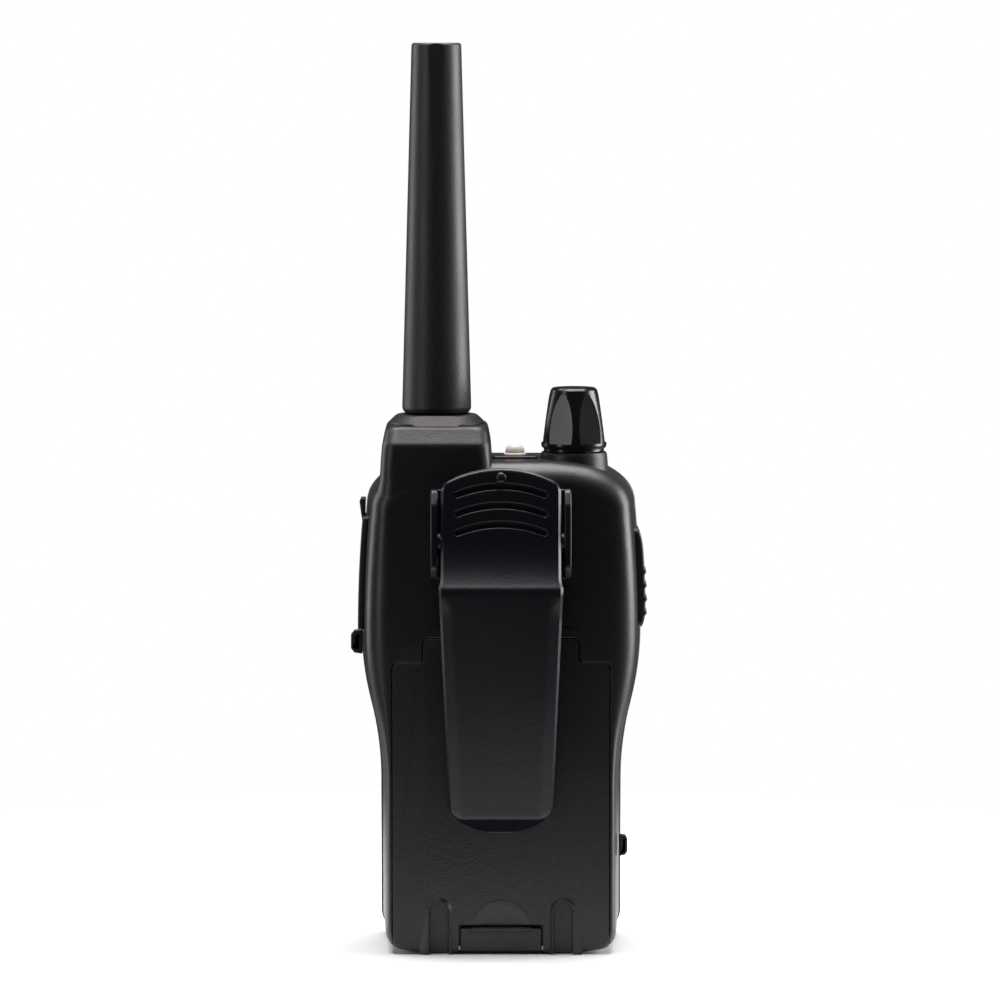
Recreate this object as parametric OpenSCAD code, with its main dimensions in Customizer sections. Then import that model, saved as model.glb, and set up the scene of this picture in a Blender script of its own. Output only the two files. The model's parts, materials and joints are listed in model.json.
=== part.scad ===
// Handheld two-way radio, standing upright on its base.
// X runs across the case, Y from its front (-Y) to its back (+Y), Z up to the antenna.
// The origin is the middle of the flat bottom. All sizes are in millimetres.

/* [Case] */
// Width across the widest part of the case
body_w = 58.4; // [58:0.2:60]
// Width across the straight grip part
waist_w = 50.2; // [50:0.1:50.6]
// Depth of the case from front to back
body_d = 32; // [32:0.5:34]
// Height of the flat land on top of the case
top_z = 101.8; // [101.4:0.2:102.4]

/* [Antenna] */
// Length of the antenna sleeve above its collar
antenna_len = 76.5; // [60:0.5:120]
// Diameter at the foot of the antenna sleeve
antenna_foot_d = 14.3; // [13.6:0.1:15]
// Diameter at the tip of the antenna sleeve
antenna_tip_d = 10.3; // [9.4:0.1:12]

/* [Knob] */
// Height of the volume knob
knob_h = 12.6; // [11:0.2:16]
// Largest diameter of the volume knob
knob_d = 13.6; // [13:0.1:14]
// Number of flutes around the volume knob
knob_flutes = 6; // [4:1:8]

/* [Buttons] */
// Travel of the push-to-talk button
ptt_travel = 0.8; // [0.4:0.1:0.8]
// Travel of each front key
key_travel = 0.6; // [0.3:0.1:0.6]

/* [Clip] */
// Width of the thumb pad of the belt clip
clip_w = 24.5; // [22:0.5:25]

/* [Hidden] */
$fn = 48;

black = [0.09, 0.09, 0.10];
soft_black = [0.14, 0.14, 0.15];
steel = [0.70, 0.71, 0.73];
brass = [0.80, 0.65, 0.35];
board_green = [0.05, 0.30, 0.18];

// ---- Case outline ----
front_y = -body_d / 2;
back_y = body_d / 2;
part_y = -5;                   // plane where the front and rear cases meet
wall = 2.2;
foot_half = 14;                // half the width of the flat bottom
foot_rise = 0.8;               // rise of the bottom from its flat to its corners
grip_corner_r = 5.5;           // radius of the bottom corners, seen from the back
grip_top_z = 34;               // top of the straight grip
chest_z = 66;                  // where the case is widest
shoulder_z = 92;               // where the shoulders start to round over
shoulder_drop = 1.2;           // how far the sides lean in between chest and shoulder
land_half = 10;                // half the width of the flat land on top
flat_half = 22.7;              // half the width of the flat back
bottom_edge_r = 1.6;
top_edge_r = 5;
side_edge_y = 5;               // depth of the rounding along the sides
least_edge_x = 2.4;            // least width of that rounding
corner_steps = 6;              // points along each rounded corner of a ring

grip_corner_x = waist_w / 2 - grip_corner_r;
grip_corner_z = foot_rise + grip_corner_r;
waist_rise = (body_w - waist_w) / 2;
waist_mid_z = (grip_top_z + chest_z) / 2;
shoulder_half = body_w / 2 - shoulder_drop;

// ---- Antenna and pedestal ----
antenna_x = 13.3;
antenna_y = 2.5;
pedestal_top_z = 109;
pedestal_roof = 2.1;
pedestal_room = 8.4;
pedestal_room_y = 10.5;
collar_h = 2;
collar_d = 20;
sleeve_z = pedestal_top_z + collar_h;
stud_r = 3;
stud_bore_r = 3.1;
sleeve_bore_r = 3.05;
stud_top_z = sleeve_z + 8;
core_r = 2;
coil_r = 2.55;
coil_wire_r = 0.3;

// ---- Knob and potentiometer ----
knob_x = -15.1;
knob_y = 2.5;
seat_r = 6.8;
seat_top_z = 103.2;
knob_gap = 0.7;
knob_z = seat_top_z + knob_gap;
knob_bore_r = 2.02;
shaft_r = 2;
bushing_r = 2.5;
bushing_bore_r = 2.06;
bushing_hole_r = 2.6;
ceiling_z = 97.5;              // inner ceiling of the case
pot_body = [8.1, 9, 6.4];
pot_nut_h = 1.6;
shaft_top_z = knob_z + 9;
flute_turn = 3;                // angle of the first flute

// ---- Indicator ----
lamp_x = -2.9;
lamp_y = 2.5;
lamp_r = 2;
lamp_pad_z = 102.3;

// ---- Push-to-talk ----
ptt_low_z = 66.9;
ptt_high_z = 87.5;
ptt_half_y = 4.05;
side_y = 2.5;                  // middle of the side controls, front to back
ptt_proud = 0.9;
ptt_seat_x = 27.2;             // inner face of the wall behind the button
ptt_mid_z = (ptt_low_z + ptt_high_z) / 2;
ptt_rib_z = [69.9, 72.75, 75.6, 78.45];
ptt_rib_r = 0.55;

// ---- Jacks and their cover ----
cover_low_z = 66.6;            // hinge height
cover_high_z = 89.9;
cover_sink = 1;
cover_proud = 0.45;
cover_half_y = 4;
cover_tab_z = 93.6;
cover_tab_half_y = 2.1;
cover_hinge_x = body_w / 2 - (cover_sink - cover_proud) / 2;
cover_hinge_r = 0.7;
jack_z = [84.4, 77.6, 70.8];
jack_nose_r = 2.8;
jack_back_x = 11;
jack_face_x = 26.9;
jack_body_half = 3.1;
speaker_bore_r = 1.78;
microphone_bore_r = 1.28;
charge_bore_r = 1.8;
charge_pin_r = 0.6;

// ---- Belt clip ----
foot_gap = 0.06;
foot_y = back_y + foot_gap;
foot_plate = 1.25;
bracket_half = 14.4;
bracket_ear = 1.5;
bracket_low_z = 78;
bracket_high_z = 96.5;
slot_low_z = 67.6;             // bottom of the clip recess in the case
slot_high_z = 87.2;
tee_half = 11.6;
tee_neck_half = 7.8;
tee_low_z = 77.8;
tee_high_z = 87;
tee_y = back_y - 2.5;
tee_lip_y = back_y - 1.1;
slot_play = 0.15;
pin_y = back_y + 3.5;
pin_z = 86;
pin_r = 1;
pin_play = 0.05;
pad_y = back_y + 6;            // outer face of the thumb pad
pad_t = 2;
clip_top_z = 101.1;
clip_crest_z = 76.7;
clip_flare_z = 88;
clip_flare = 4.4;
clip_tip_z = 28.4;
clip_tip_y = back_y + 3.4;
clip_plate_half = 12.7;
clip_tip_half = 10.6;
clip_arch_r = 24;
clip_lug_r = 1.9;
clip_lug_w = 2.4;
clip_nose_half = 8.6;
clip_groove_z = [98.0, 94.1, 90.2];
clip_groove_half = 9.6;
clip_groove_r = 24;
clip_groove_w = 1.5;
clip_groove_depth = 0.5;
clip_dome_z = 99.1;
clip_dome_r = 1.15;
spring_wire_r = 0.2;
spring_coil_r = pin_r + 0.25;

// ---- Battery door and its latch ----
door_gap = 0.3;
door_half = 22.35;
door_t = 1.9;
door_y = back_y - door_t;
door_low_z = 0.3;
door_step_z = 60.5;
door_top_z = 65.6;
door_tongue_half = 16;
door_corner_r = 1.2;
door_skirt = 20;               // how far the outline runs on below the base
recess_y = door_y - 0.1;
rail_y = recess_y - 1.1;
rail_t = 0.8;
rail_half = 23.2;
rail_inner = 21.2;
rail_low_z = 8;
rail_high_z = 58;
rail_play = 0.15;
slot_x = 12.6;                 // charger guide slots at the foot of the door
slot_half = 2;
slot_top_z = 11;
slot_depth = 1.1;
slot_bevel = 2;
scoop_half = 5.5;
scoop_low_z = 6.3;
scoop_top_z = 11.7;
scoop_depth = 1;
latch_half = 8.4;
latch_top_z = 5.6;
latch_t = 1.3;
latch_gap = 0.35;
latch_pin_y = back_y - 0.85;
latch_pin_z = 1.3;
latch_pin_r = 0.45;
latch_cut_z = 6.3;
door_foot_x = 15.8;
foam_t = 0.5;

// ---- Battery compartment ----
cell_r = 5.25;
cell_len = 44.5;
cell_nub_h = 0.8;
cell_nub_r = 1.9;
cell_y = recess_y - 0.35 - cell_r;
well_half = 21.3;
well_low_z = 12.2;
well_high_z = 62;
well_floor_y = cell_y - cell_r - 0.25;
well_floor_t = 1.5;
contact_t = 0.4;
contact_half = 4.4;
contact_half_y = 4.2;
contact_gap = 0.3;
contact_low_z = well_low_z + contact_gap;
contact_high_z = well_high_z - contact_gap;

// ---- Electronics and front ----
cavity_back_y = 11.8;          // back of the upper cavity
front_inner_y = front_y + 2;
board_y = -4.4;
board_t = 1.6;
board_half = 21;
screw_top = [8, 91];
screw_low = [19, 7.5];
screw_r = 1;
screw_head_r = 1.9;
screw_head_h = 1.4;
screw_seat_y = 6;
boss_r = 2.7;
boss_front_y = 3.8;
window_size = [34, 24];
window_open = [30, 20];
display_size = [36, 21.6];
window_z = 77;
window_t = 1;
grille_z = 24;
grille_r = 13;
grille_pitch = 3.2;
grille_slot = 1.6;
mic_place = [17, 39];
key_flange = 0.8;
key_proud = 0.6;
key_stem = 1.6;
key_places = [
    [0, 55.4, 10, 4.6], [0, 46.6, 10, 4.6],
    [-13.4, 55.4, 9, 4.6], [-13.4, 46.6, 9, 4.6],
    [13.4, 55.4, 9, 4.6], [13.4, 46.6, 9, 4.6]
];

// ---- Placing and extruding ----

// Extrudes a shape drawn in X and Z between two depths.
module slab_y(y0, y1) {
    translate([0, y1, 0])
        rotate([90, 0, 0])
            linear_extrude(y1 - y0)
                children();
}

// Extrudes a shape drawn in Y and Z between two places across the case.
module slab_x(x0, x1) {
    translate([x0, 0, 0])
        rotate([90, 0, 90])
            linear_extrude(x1 - x0)
                children();
}

module rod_x(x0, x1, y, z, r) {
    translate([x0, y, z])
        rotate([0, 90, 0])
            cylinder(h = x1 - x0, r = r);
}

module rod_y(x, y0, y1, z, r) {
    translate([x, y0, z])
        rotate([-90, 0, 0])
            cylinder(h = y1 - y0, r = r);
}

module rod_z(x, y, z0, z1, r) {
    translate([x, y, z0])
        cylinder(h = z1 - z0, r = r);
}

module block(low, high) {
    translate(low)
        cube(high - low);
}

// The same block on both sides of the middle plane.
module block_pair(low, high) {
    block(low, high);
    mirror([1, 0, 0])
        block(low, high);
}

// A flat rectangle with rounded corners, centred on a point.
module rounded_plate(centre, size, r) {
    translate(centre) {
        square([size[0] - 2 * r, size[1]], center = true);
        square([size[0], size[1] - 2 * r], center = true);
        for (sx = [-1, 1], sy = [-1, 1])
            translate([sx * (size[0] / 2 - r), sy * (size[1] / 2 - r)])
                circle(r);
    }
}

// A bar with round ends, centred on a point; its longer side sets its direction.
module pill(centre, size) {
    r = min(size[0], size[1]) / 2;
    run = [size[0] / 2 - r, size[1] / 2 - r];
    bar = size[0] < size[1] ? [2 * r, 2 * run[1]] : [2 * run[0], 2 * r];
    translate(centre) {
        square(bar, center = true);
        for (s = [-1, 1])
            translate(s * run)
                circle(r);
    }
}

// ---- Lofted shapes ----

function arc(cx, cy, rx, ry, from, to) = [
    for (i = [0:corner_steps])
        let (a = from + (to - from) * i / corner_steps)
            [cx + rx * cos(a), cy + ry * sin(a)]
];

// One rounded outline seen from above, counter-clockwise.
function ring(cx, half, low_y, high_y, rx, ry) = concat(
    arc(cx + half - rx, high_y - ry, rx, ry, 0, 90),
    arc(cx - half + rx, high_y - ry, rx, ry, 90, 180),
    arc(cx - half + rx, low_y + ry, rx, ry, 180, 270),
    arc(cx + half - rx, low_y + ry, rx, ry, 270, 360)
);

// Joins rings, given as [height, outline], into one closed skin.
module loft(rings) {
    n = len(rings[0][1]);
    last = len(rings) - 1;
    sides = [
        for (k = [0:last - 1], i = [0:n - 1])
            let (j = (i + 1) % n, a = k * n + i, b = a + n, c = (k + 1) * n + j, d = k * n + j)
                each [[a, b, c], [a, c, d]]
    ];
    polyhedron(
        points = [for (r = rings) for (p = r[1]) [p[0], p[1], r[0]]],
        faces = concat(
            [[for (i = [0:n - 1]) i]],
            [[for (i = [n - 1:-1:0]) last * n + i]],
            sides
        )
    );
}

// A bent wire: a closed tube along points in space, with its rings kept upright to a given axis.
module wire(path, r, sides = 8) {
    n = len(path);
    function away(i) = path[min(i + 1, n - 1)] - path[max(i - 1, 0)];
    function unit(v) = v / norm(v);
    points = [
        for (i = [0:n - 1])
            let (t = unit(away(i)), u = unit(cross(t, [0.05, 0.02, 1])), v = cross(t, u))
                for (k = [0:sides - 1])
                    path[i] + r * cos(360 * k / sides) * u + r * sin(360 * k / sides) * v
    ];
    faces = concat(
        [[for (k = [sides - 1:-1:0]) k]],
        [[for (k = [0:sides - 1]) (n - 1) * sides + k]],
        [
            for (i = [0:n - 2], k = [0:sides - 1])
                let (j = (k + 1) % sides, a = i * sides + k, b = i * sides + j)
                    each [[a, b, b + sides], [a, b + sides, a + sides]]
        ]
    );
    polyhedron(points = points, faces = faces);
}

// ---- The case ----

// Half the width of the case at a height.
function half_width(z) =
    z < foot_rise ? foot_half + (grip_corner_x - foot_half) * z / foot_rise
    : z < grip_corner_z
        ? grip_corner_x + sqrt(max(0, pow(grip_corner_r, 2) - pow(grip_corner_z - z, 2)))
    : z < grip_top_z ? waist_w / 2
    : z < waist_mid_z ? waist_w / 2 + 2 * waist_rise * pow((z - grip_top_z) / (chest_z - grip_top_z), 2)
    : z < chest_z ? body_w / 2 - 2 * waist_rise * pow((chest_z - z) / (chest_z - grip_top_z), 2)
    : z < shoulder_z ? body_w / 2 - shoulder_drop * pow((z - chest_z) / (shoulder_z - chest_z), 2)
    : land_half + (shoulder_half - land_half)
        * sqrt(max(0, 1 - pow((z - shoulder_z) / (top_z - shoulder_z), 2)));

// How far the front and back faces draw in at a height.
function depth_inset(z) =
    z < bottom_edge_r ? bottom_edge_r - sqrt(pow(bottom_edge_r, 2) - pow(bottom_edge_r - z, 2))
    : z > top_z - top_edge_r
        ? top_edge_r - sqrt(max(0, pow(top_edge_r, 2) - pow(z - top_z + top_edge_r, 2)))
    : 0;

function edge_width(z) =
    z < shoulder_z ? max(least_edge_x, half_width(z) - flat_half) : shoulder_half - flat_half;

function case_ring(z) = [
    z,
    ring(0, half_width(z), front_y + depth_inset(z), back_y - depth_inset(z), edge_width(z), side_edge_y)
];

case_heights = concat(
    [0],
    [for (t = [0:15:90]) foot_rise + grip_corner_r * (1 - cos(t))],
    [for (i = [0:8]) grip_top_z + (chest_z - grip_top_z) * i / 8],
    [for (i = [1:4]) chest_z + (shoulder_z - chest_z) * i / 4],
    [for (t = [10:10:90]) shoulder_z + (top_z - shoulder_z) * sin(t)]
);

module case_blank() {
    loft([for (z = case_heights) case_ring(z)]);
}

function pedestal_ring(z, half, front_inset, back_inset) = [
    z,
    ring(antenna_x, half, front_y + front_inset, back_y - back_inset, 3, 3)
];

module pedestal_blank() {
    loft([
        pedestal_ring(shoulder_z, 11.6, 5, 0.1),
        pedestal_ring(99, 11.6, 5, 0.1),
        pedestal_ring(105.4, 11.1, 5.6, 0.3),
        pedestal_ring(108.2, 10.5, 7.6, 2.4),
        pedestal_ring(pedestal_top_z, 9.9, 8.3, 3.1)
    ]);
}

module case_whole() {
    case_blank();
    pedestal_blank();
    translate([knob_x, knob_y, shoulder_z])
        cylinder(h = seat_top_z - shoulder_z, r1 = seat_r + 0.4, r2 = seat_r);
    translate([0, 0, shoulder_z])
        linear_extrude(lamp_pad_z - shoulder_z)
            rounded_plate([lamp_x, lamp_y], [9.4, 5.6], 0.8);
}

// The case outline drawn in by a wall, between two heights, in X and Z.
module inner_outline(inset, low, high) {
    steps = 14;
    heights = [for (i = [0:steps]) low + (high - low) * i / steps];
    polygon(concat(
        [for (z = heights) [half_width(z) - inset, z]],
        [for (i = [steps:-1:0]) [inset - half_width(heights[i]), heights[i]]]
    ));
}

module front_cavity() {
    slab_y(front_inner_y, part_y + 1)
        inner_outline(wall, 3, ceiling_z);
}

module rear_cavity() {
    slab_y(part_y - 1, well_floor_y - well_floor_t)
        inner_outline(wall, 3, ceiling_z);
    slab_y(part_y - 1, cavity_back_y)
        inner_outline(wall, well_high_z + well_floor_t, ceiling_z);
    block([-14, part_y - 1, 3], [14, cavity_back_y, well_low_z - well_floor_t]);
    block(
        [antenna_x - pedestal_room, part_y - 1, ceiling_z - 1],
        [antenna_x + pedestal_room, pedestal_room_y, pedestal_top_z - pedestal_roof]
    );
}

module door_outline(grow) {
    rounded_plate(
        [0, (door_step_z - door_skirt) / 2],
        [2 * (door_half + grow), door_step_z + door_skirt + 2 * grow],
        door_corner_r
    );
    rounded_plate(
        [0, (door_top_z - door_skirt) / 2],
        [2 * (door_tongue_half + grow), door_top_z + door_skirt + 2 * grow],
        door_corner_r
    );
}

module clip_slot() {
    mid = (tee_low_z + slot_low_z) / 2;
    neck = tee_neck_half + slot_play;
    half = tee_half + slot_play;
    deep_y = tee_y - slot_play;
    block([-neck, tee_lip_y - 1, slot_low_z], [neck, back_y + 1, slot_high_z]);
    block([-half, deep_y, slot_low_z], [half, tee_lip_y + slot_play, slot_high_z]);
    block([-half, deep_y, slot_low_z], [half, back_y + 1, tee_low_z - 0.5]);
    slab_y(back_y - 0.4, back_y + 1)
        rounded_plate([0, mid - 0.2], [33, tee_low_z - slot_low_z - 0.6], 1);
}

module jack_recess() {
    low = cover_low_z - cover_hinge_r - 0.3;
    high = cover_high_z + 0.3;
    slab_y(side_y - cover_half_y - 0.2, side_y + cover_half_y + 0.2)
        polygon([
            [half_width(low) - cover_sink - 0.15, low], [body_w / 2 + 3, low],
            [body_w / 2 + 3, high], [half_width(high) - cover_sink - 0.15, high],
            [half_width(cover_low_z + 8) - cover_sink - 0.15, cover_low_z + 8]
        ]);
    for (z = jack_z)
        rod_x(body_w / 2 - 8, body_w / 2, side_y, z, jack_nose_r + 0.1);
}

module ptt_opening() {
    height = ptt_high_z - ptt_low_z;
    slab_x(-body_w / 2 - 2, -ptt_seat_x + 1)
        rounded_plate([side_y, ptt_mid_z], [2 * ptt_half_y + 0.3, height + 0.3], 1.4);
    block([-ptt_seat_x, side_y - 5.4, ptt_low_z - 1.3], [-ptt_seat_x + 4, side_y + 5.4, ptt_high_z + 1.3]);
}

module screw_places() {
    for (sx = [-1, 1], p = [screw_top, screw_low])
        translate([sx * p[0], 0, p[1]])
            children();
}

module rear_case() color(black) {
    difference() {
        union() {
            difference() {
                case_whole();
                block([-60, -60, -10], [60, part_y, 200]);
                rear_cavity();
            }
            intersection() {
                screw_places()
                    rod_y(0, boss_front_y + 0.2, back_y - 1, 0, boss_r + 0.2);
                block([-24, 0, 3.5], [24, back_y, 95]);
            }
        }
        block([-well_half, well_floor_y, well_low_z], [well_half, recess_y + 0.02, well_high_z]);
        slab_y(recess_y, back_y + 1)
            door_outline(door_gap);
        block_pair(
            [rail_inner - rail_play, rail_y - rail_play, -1],
            [rail_half + rail_play, recess_y - 0.05, rail_high_z + 0.4]
        );
        block_pair(
            [rail_inner - rail_play, rail_y - rail_play, -1],
            [door_half + door_gap, recess_y + 0.1, rail_high_z + 0.4]
        );
        clip_slot();
        jack_recess();
        ptt_opening();
        screw_places() {
            rod_y(0, part_y - 1, boss_front_y + 0.1, 0, boss_r + 0.15);
            rod_y(0, part_y - 1, back_y + 1, 0, screw_r + 0.15);
            rod_y(0, screw_seat_y, back_y + 1, 0, screw_head_r + 0.3);
        }
        rod_z(antenna_x, antenna_y, pedestal_top_z - 4, pedestal_top_z + 1, stud_bore_r);
        rod_z(knob_x, knob_y, ceiling_z - 1, seat_top_z + 1, bushing_hole_r);
        rod_z(lamp_x, lamp_y, ceiling_z - 1, lamp_pad_z + 1, lamp_r + 0.1);
        loop_socket(lanyard_size);
        mirror([1, 0, 0])
            loop_socket(eyelet_size);
    }
}

module front_case() color(black) {
    difference() {
        union() {
            difference() {
                case_whole();
                block([-60, part_y, -10], [60, 60, 200]);
                front_cavity();
            }
            intersection() {
                screw_places()
                    rod_y(0, front_inner_y - 0.5, boss_front_y, 0, boss_r);
                block([-22.5, front_y + 1, 0.9], [22.5, back_y, 95]);
            }
        }
        screw_places()
            rod_y(0, -12, back_y, 0, screw_r);
        slab_y(front_y - 1, front_y + 1.1)
            rounded_plate([0, window_z], window_size, 2);
        slab_y(front_y - 1, front_inner_y + 1)
            rounded_plate([0, window_z], window_open, 1);
        for (k = key_places)
            slab_y(front_y - 1, front_inner_y + 1)
                rounded_plate([k[0], k[1]], [k[2] + 0.3, k[3] + 0.3], 1.3);
        grille_slots();
        rod_y(mic_place[0], front_y - 1, front_inner_y + 1, mic_place[1], 0.8);
    }
}

module grille_slots() {
    rows = floor(grille_r / grille_pitch);
    for (i = [-rows:rows])
        let (z = i * grille_pitch, half = sqrt(pow(grille_r, 2) - z * z))
            slab_y(front_y - 1, front_inner_y + 1)
                pill([0, grille_z + z], [2 * half, grille_slot]);
}

module case_screws() color(steel) {
    screw_places()
        difference() {
            union() {
                rod_y(0, -6, screw_seat_y + 0.1, 0, screw_r - 0.05);
                rod_y(0, screw_seat_y + 0.02, screw_seat_y + screw_head_h, 0, screw_head_r);
            }
            for (a = [0, 90])
                rotate([0, a, 0])
                    block([-1.1, screw_seat_y + 0.7, -0.25], [1.1, screw_seat_y + 3, 0.25]);
        }
}

// ---- Loops for a lanyard ----

// [outer reach past the case, width of the opening, height of the opening, wall, height of the middle]
lanyard_size = [1.9, 1.0, 3.2, 0.95, 64.3];
eyelet_size = [1.1, 0.45, 2.6, 0.55, 21.6];
loop_y = 9.6;
loop_t = 1.8;
loop_root = 1.2;

module loop_socket(size) {
    face = half_width(size[4]);
    block(
        [face - loop_root - 0.05, loop_y - loop_t / 2 - 0.05, size[4] - size[2] / 2 - size[3] - 0.05],
        [face + 1, loop_y + loop_t / 2 + 0.05, size[4] + size[2] / 2 + size[3] + 0.05]
    );
}

module case_loop(size) {
    face = half_width(size[4]);
    height = size[2] + 2 * size[3];
    slab_y(loop_y - loop_t / 2, loop_y + loop_t / 2)
        difference() {
            rounded_plate(
                [face + (size[0] - loop_root) / 2, size[4]],
                [size[0] + loop_root, height],
                min(1, size[3])
            );
            pill([face + size[0] - size[3] - size[1] / 2, size[4]], [size[1], size[2]]);
        }
}

module lanyard_loop() color(black) {
    case_loop(lanyard_size);
}

module side_eyelet() color(black) {
    mirror([1, 0, 0])
        case_loop(eyelet_size);
}

// ---- Antenna ----

module antenna_collar() color(soft_black) {
    translate([antenna_x, antenna_y, pedestal_top_z])
        difference() {
            cylinder(h = collar_h, r1 = collar_d / 2, r2 = antenna_foot_d / 2);
            translate([0, 0, -1])
                cylinder(h = collar_h + 2, r = stud_bore_r);
        }
}

module antenna_sleeve() color(black) {
    foot_r = antenna_foot_d / 2;
    tip_r = antenna_tip_d / 2;
    facet_len = 24.5;
    facet_depth = 0.27;
    lean = atan((foot_r - tip_r) / antenna_len) + atan(facet_depth / facet_len);
    translate([antenna_x, antenna_y, sleeve_z])
        difference() {
            rotate_extrude()
                polygon(concat(
                    [[sleeve_bore_r, 0]],
                    [for (t = [-90:15:0]) [foot_r - 1.5 + 1.5 * cos(t), 1.5 + 1.5 * sin(t)]],
                    [for (t = [0:15:90]) [tip_r - 0.5 + 0.5 * cos(t), antenna_len - 0.5 + 0.5 * sin(t)]],
                    [[0, antenna_len], [0, antenna_len - 4], [sleeve_bore_r, antenna_len - 5]]
                ));
            translate([0, tip_r - facet_depth, antenna_len])
                rotate([lean, 0, 0])
                    translate([-10, 0, -40])
                        cube([20, 10, 60]);
        }
}

module antenna_stud() color(brass) {
    translate([antenna_x, antenna_y, 0])
        difference() {
            translate([0, 0, pedestal_top_z - 6])
                cylinder(h = stud_top_z - pedestal_top_z + 6, r = stud_r);
            translate([0, 0, stud_top_z - 3])
                cylinder(h = 4, r = core_r + 0.02);
        }
}

module antenna_nut() color(brass) {
    translate([antenna_x, antenna_y, pedestal_top_z - pedestal_roof - 2.1])
        difference() {
            cylinder(h = 2, r = 4.9, $fn = 6);
            translate([0, 0, -1])
                cylinder(h = 4, r = stud_r + 0.02);
        }
}

module antenna_core() color("white") {
    rod_z(antenna_x, antenna_y, stud_top_z - 2.9, sleeve_z + antenna_len - 8, core_r);
}

module antenna_coil() color(brass) {
    low = stud_top_z + 1;
    high = sleeve_z + antenna_len - 10;
    turns = 7;
    steps = 10;
    translate([antenna_x, antenna_y, 0])
        wire([
            for (i = [0:turns * steps])
                let (a = 360 * i / steps)
                    [coil_r * cos(a), coil_r * sin(a), low + (high - low) * i / (turns * steps)]
        ], coil_wire_r, 6);
}

// ---- Indicator ----

module indicator_lens() color([0.92, 0.92, 0.9]) {
    translate([lamp_x, lamp_y, 0]) {
        translate([0, 0, ceiling_z + 1])
            cylinder(h = lamp_pad_z + 0.7 - ceiling_z - 1, r = lamp_r);
        translate([0, 0, lamp_pad_z + 0.02])
            cylinder(h = 0.5, r = lamp_r + 0.3);
        translate([0, 0, lamp_pad_z + 0.7])
            intersection() {
                sphere(r = lamp_r);
                translate([-3, -3, 0])
                    cube([6, 6, 6]);
            }
    }
}

module indicator_led() color([0.95, 0.95, 0.8]) {
    rod_z(lamp_x, lamp_y, ceiling_z - 2, ceiling_z + 0.9, 1.5);
}

// ---- Volume knob ----

function knob_radius(s) = knob_d / 2 - (knob_d / 2 - 4.45) * pow(s, 1.25);

module volume_knob() color(black) {
    steps = 8;
    top = knob_z + knob_h;
    translate([knob_x, knob_y, 0])
        difference() {
            rotate_extrude()
                polygon(concat(
                    [[0, knob_z], [knob_d / 2 - 0.5, knob_z]],
                    [for (i = [0:steps]) [knob_radius(i / steps), knob_z + 0.6 + (knob_h - 1.1) * i / steps]],
                    [[4.0, top], [0, top]]
                ));
            for (i = [0:knob_flutes - 1])
                rotate([0, 0, flute_turn + 360 * i / knob_flutes])
                    translate([7.05, 0, knob_z + 1.2])
                        cylinder(h = knob_h, r = 2.3);
            translate([0, 0, knob_z - 1])
                cylinder(h = 2.5, r = 4.5);
            translate([0, 0, knob_z])
                cylinder(h = shaft_top_z - knob_z + 0.3, r = knob_bore_r);
        }
}

module potentiometer_shaft() color(steel) {
    rod_z(knob_x, knob_y, ceiling_z - 4, shaft_top_z, shaft_r);
}

module potentiometer() color(steel) {
    difference() {
        union() {
            translate([knob_x - pot_body[0] / 2, knob_y - pot_body[1] / 2, ceiling_z - 0.1 - pot_body[2]])
                cube(pot_body);
            rod_z(knob_x, knob_y, ceiling_z - 0.5, knob_z + 1, bushing_r);
        }
        rod_z(knob_x, knob_y, ceiling_z - 4.2, knob_z + 2, bushing_bore_r);
    }
}

module potentiometer_nut() color(steel) {
    translate([knob_x, knob_y, seat_top_z + 0.02])
        difference() {
            cylinder(h = pot_nut_h, r = 4.1, $fn = 6);
            translate([0, 0, -1])
                cylinder(h = pot_nut_h + 2, r = bushing_r + 0.02);
        }
}

// ---- Push-to-talk ----

function ptt_reach(z) =
    let (s = (z - ptt_low_z) / (ptt_high_z - ptt_low_z))
        half_width(z) + ptt_proud * (1 - pow(2 * s - 1, 6)) - 0.05;

module ptt_button() color(soft_black) {
    steps = 12;
    heights = [for (i = [0:steps]) ptt_low_z + (ptt_high_z - ptt_low_z) * i / steps];
    intersection() {
        slab_y(side_y - ptt_half_y, side_y + ptt_half_y)
            polygon(concat(
                [[-ptt_seat_x + 0.6, ptt_low_z], [-ptt_seat_x + 0.6, ptt_high_z]],
                [for (i = [steps:-1:0]) [-ptt_reach(heights[i]), heights[i]]]
            ));
        slab_x(-body_w / 2 - 2, 0)
            rounded_plate([side_y, ptt_mid_z], [2 * ptt_half_y, ptt_high_z - ptt_low_z], 1.3);
    }
    block(
        [-ptt_seat_x + 0.1, side_y - 5, ptt_low_z - 0.8],
        [-ptt_seat_x + 1.1, side_y + 5, ptt_high_z + 0.8]
    );
    rod_x(-ptt_seat_x + 1, -ptt_seat_x + 1.8, side_y, ptt_mid_z, 1.2);
    for (z = ptt_rib_z)
        translate([-ptt_reach(z) + 0.2, side_y - ptt_half_y + 0.6, z])
            rotate([-90, 0, 0])
                cylinder(h = 2 * ptt_half_y - 1.2, r = ptt_rib_r);
}

module ptt_switch() color(steel) {
    face_x = -ptt_seat_x + 1.8 + ptt_travel + 0.1;
    rod_x(face_x, face_x + 0.8, side_y, ptt_mid_z, 1.4);
    block([face_x + 0.7, side_y - 3.1, ptt_mid_z - 3], [face_x + 4, side_y + 3.1, ptt_mid_z + 3]);
    for (z = [-2.2, 1.6])
        block([-board_half + 0.1, board_y + board_t + 0.02, ptt_mid_z + z],
              [-board_half + 0.7, side_y - 3, ptt_mid_z + z + 0.6]);
}

// ---- Side jacks ----

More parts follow.
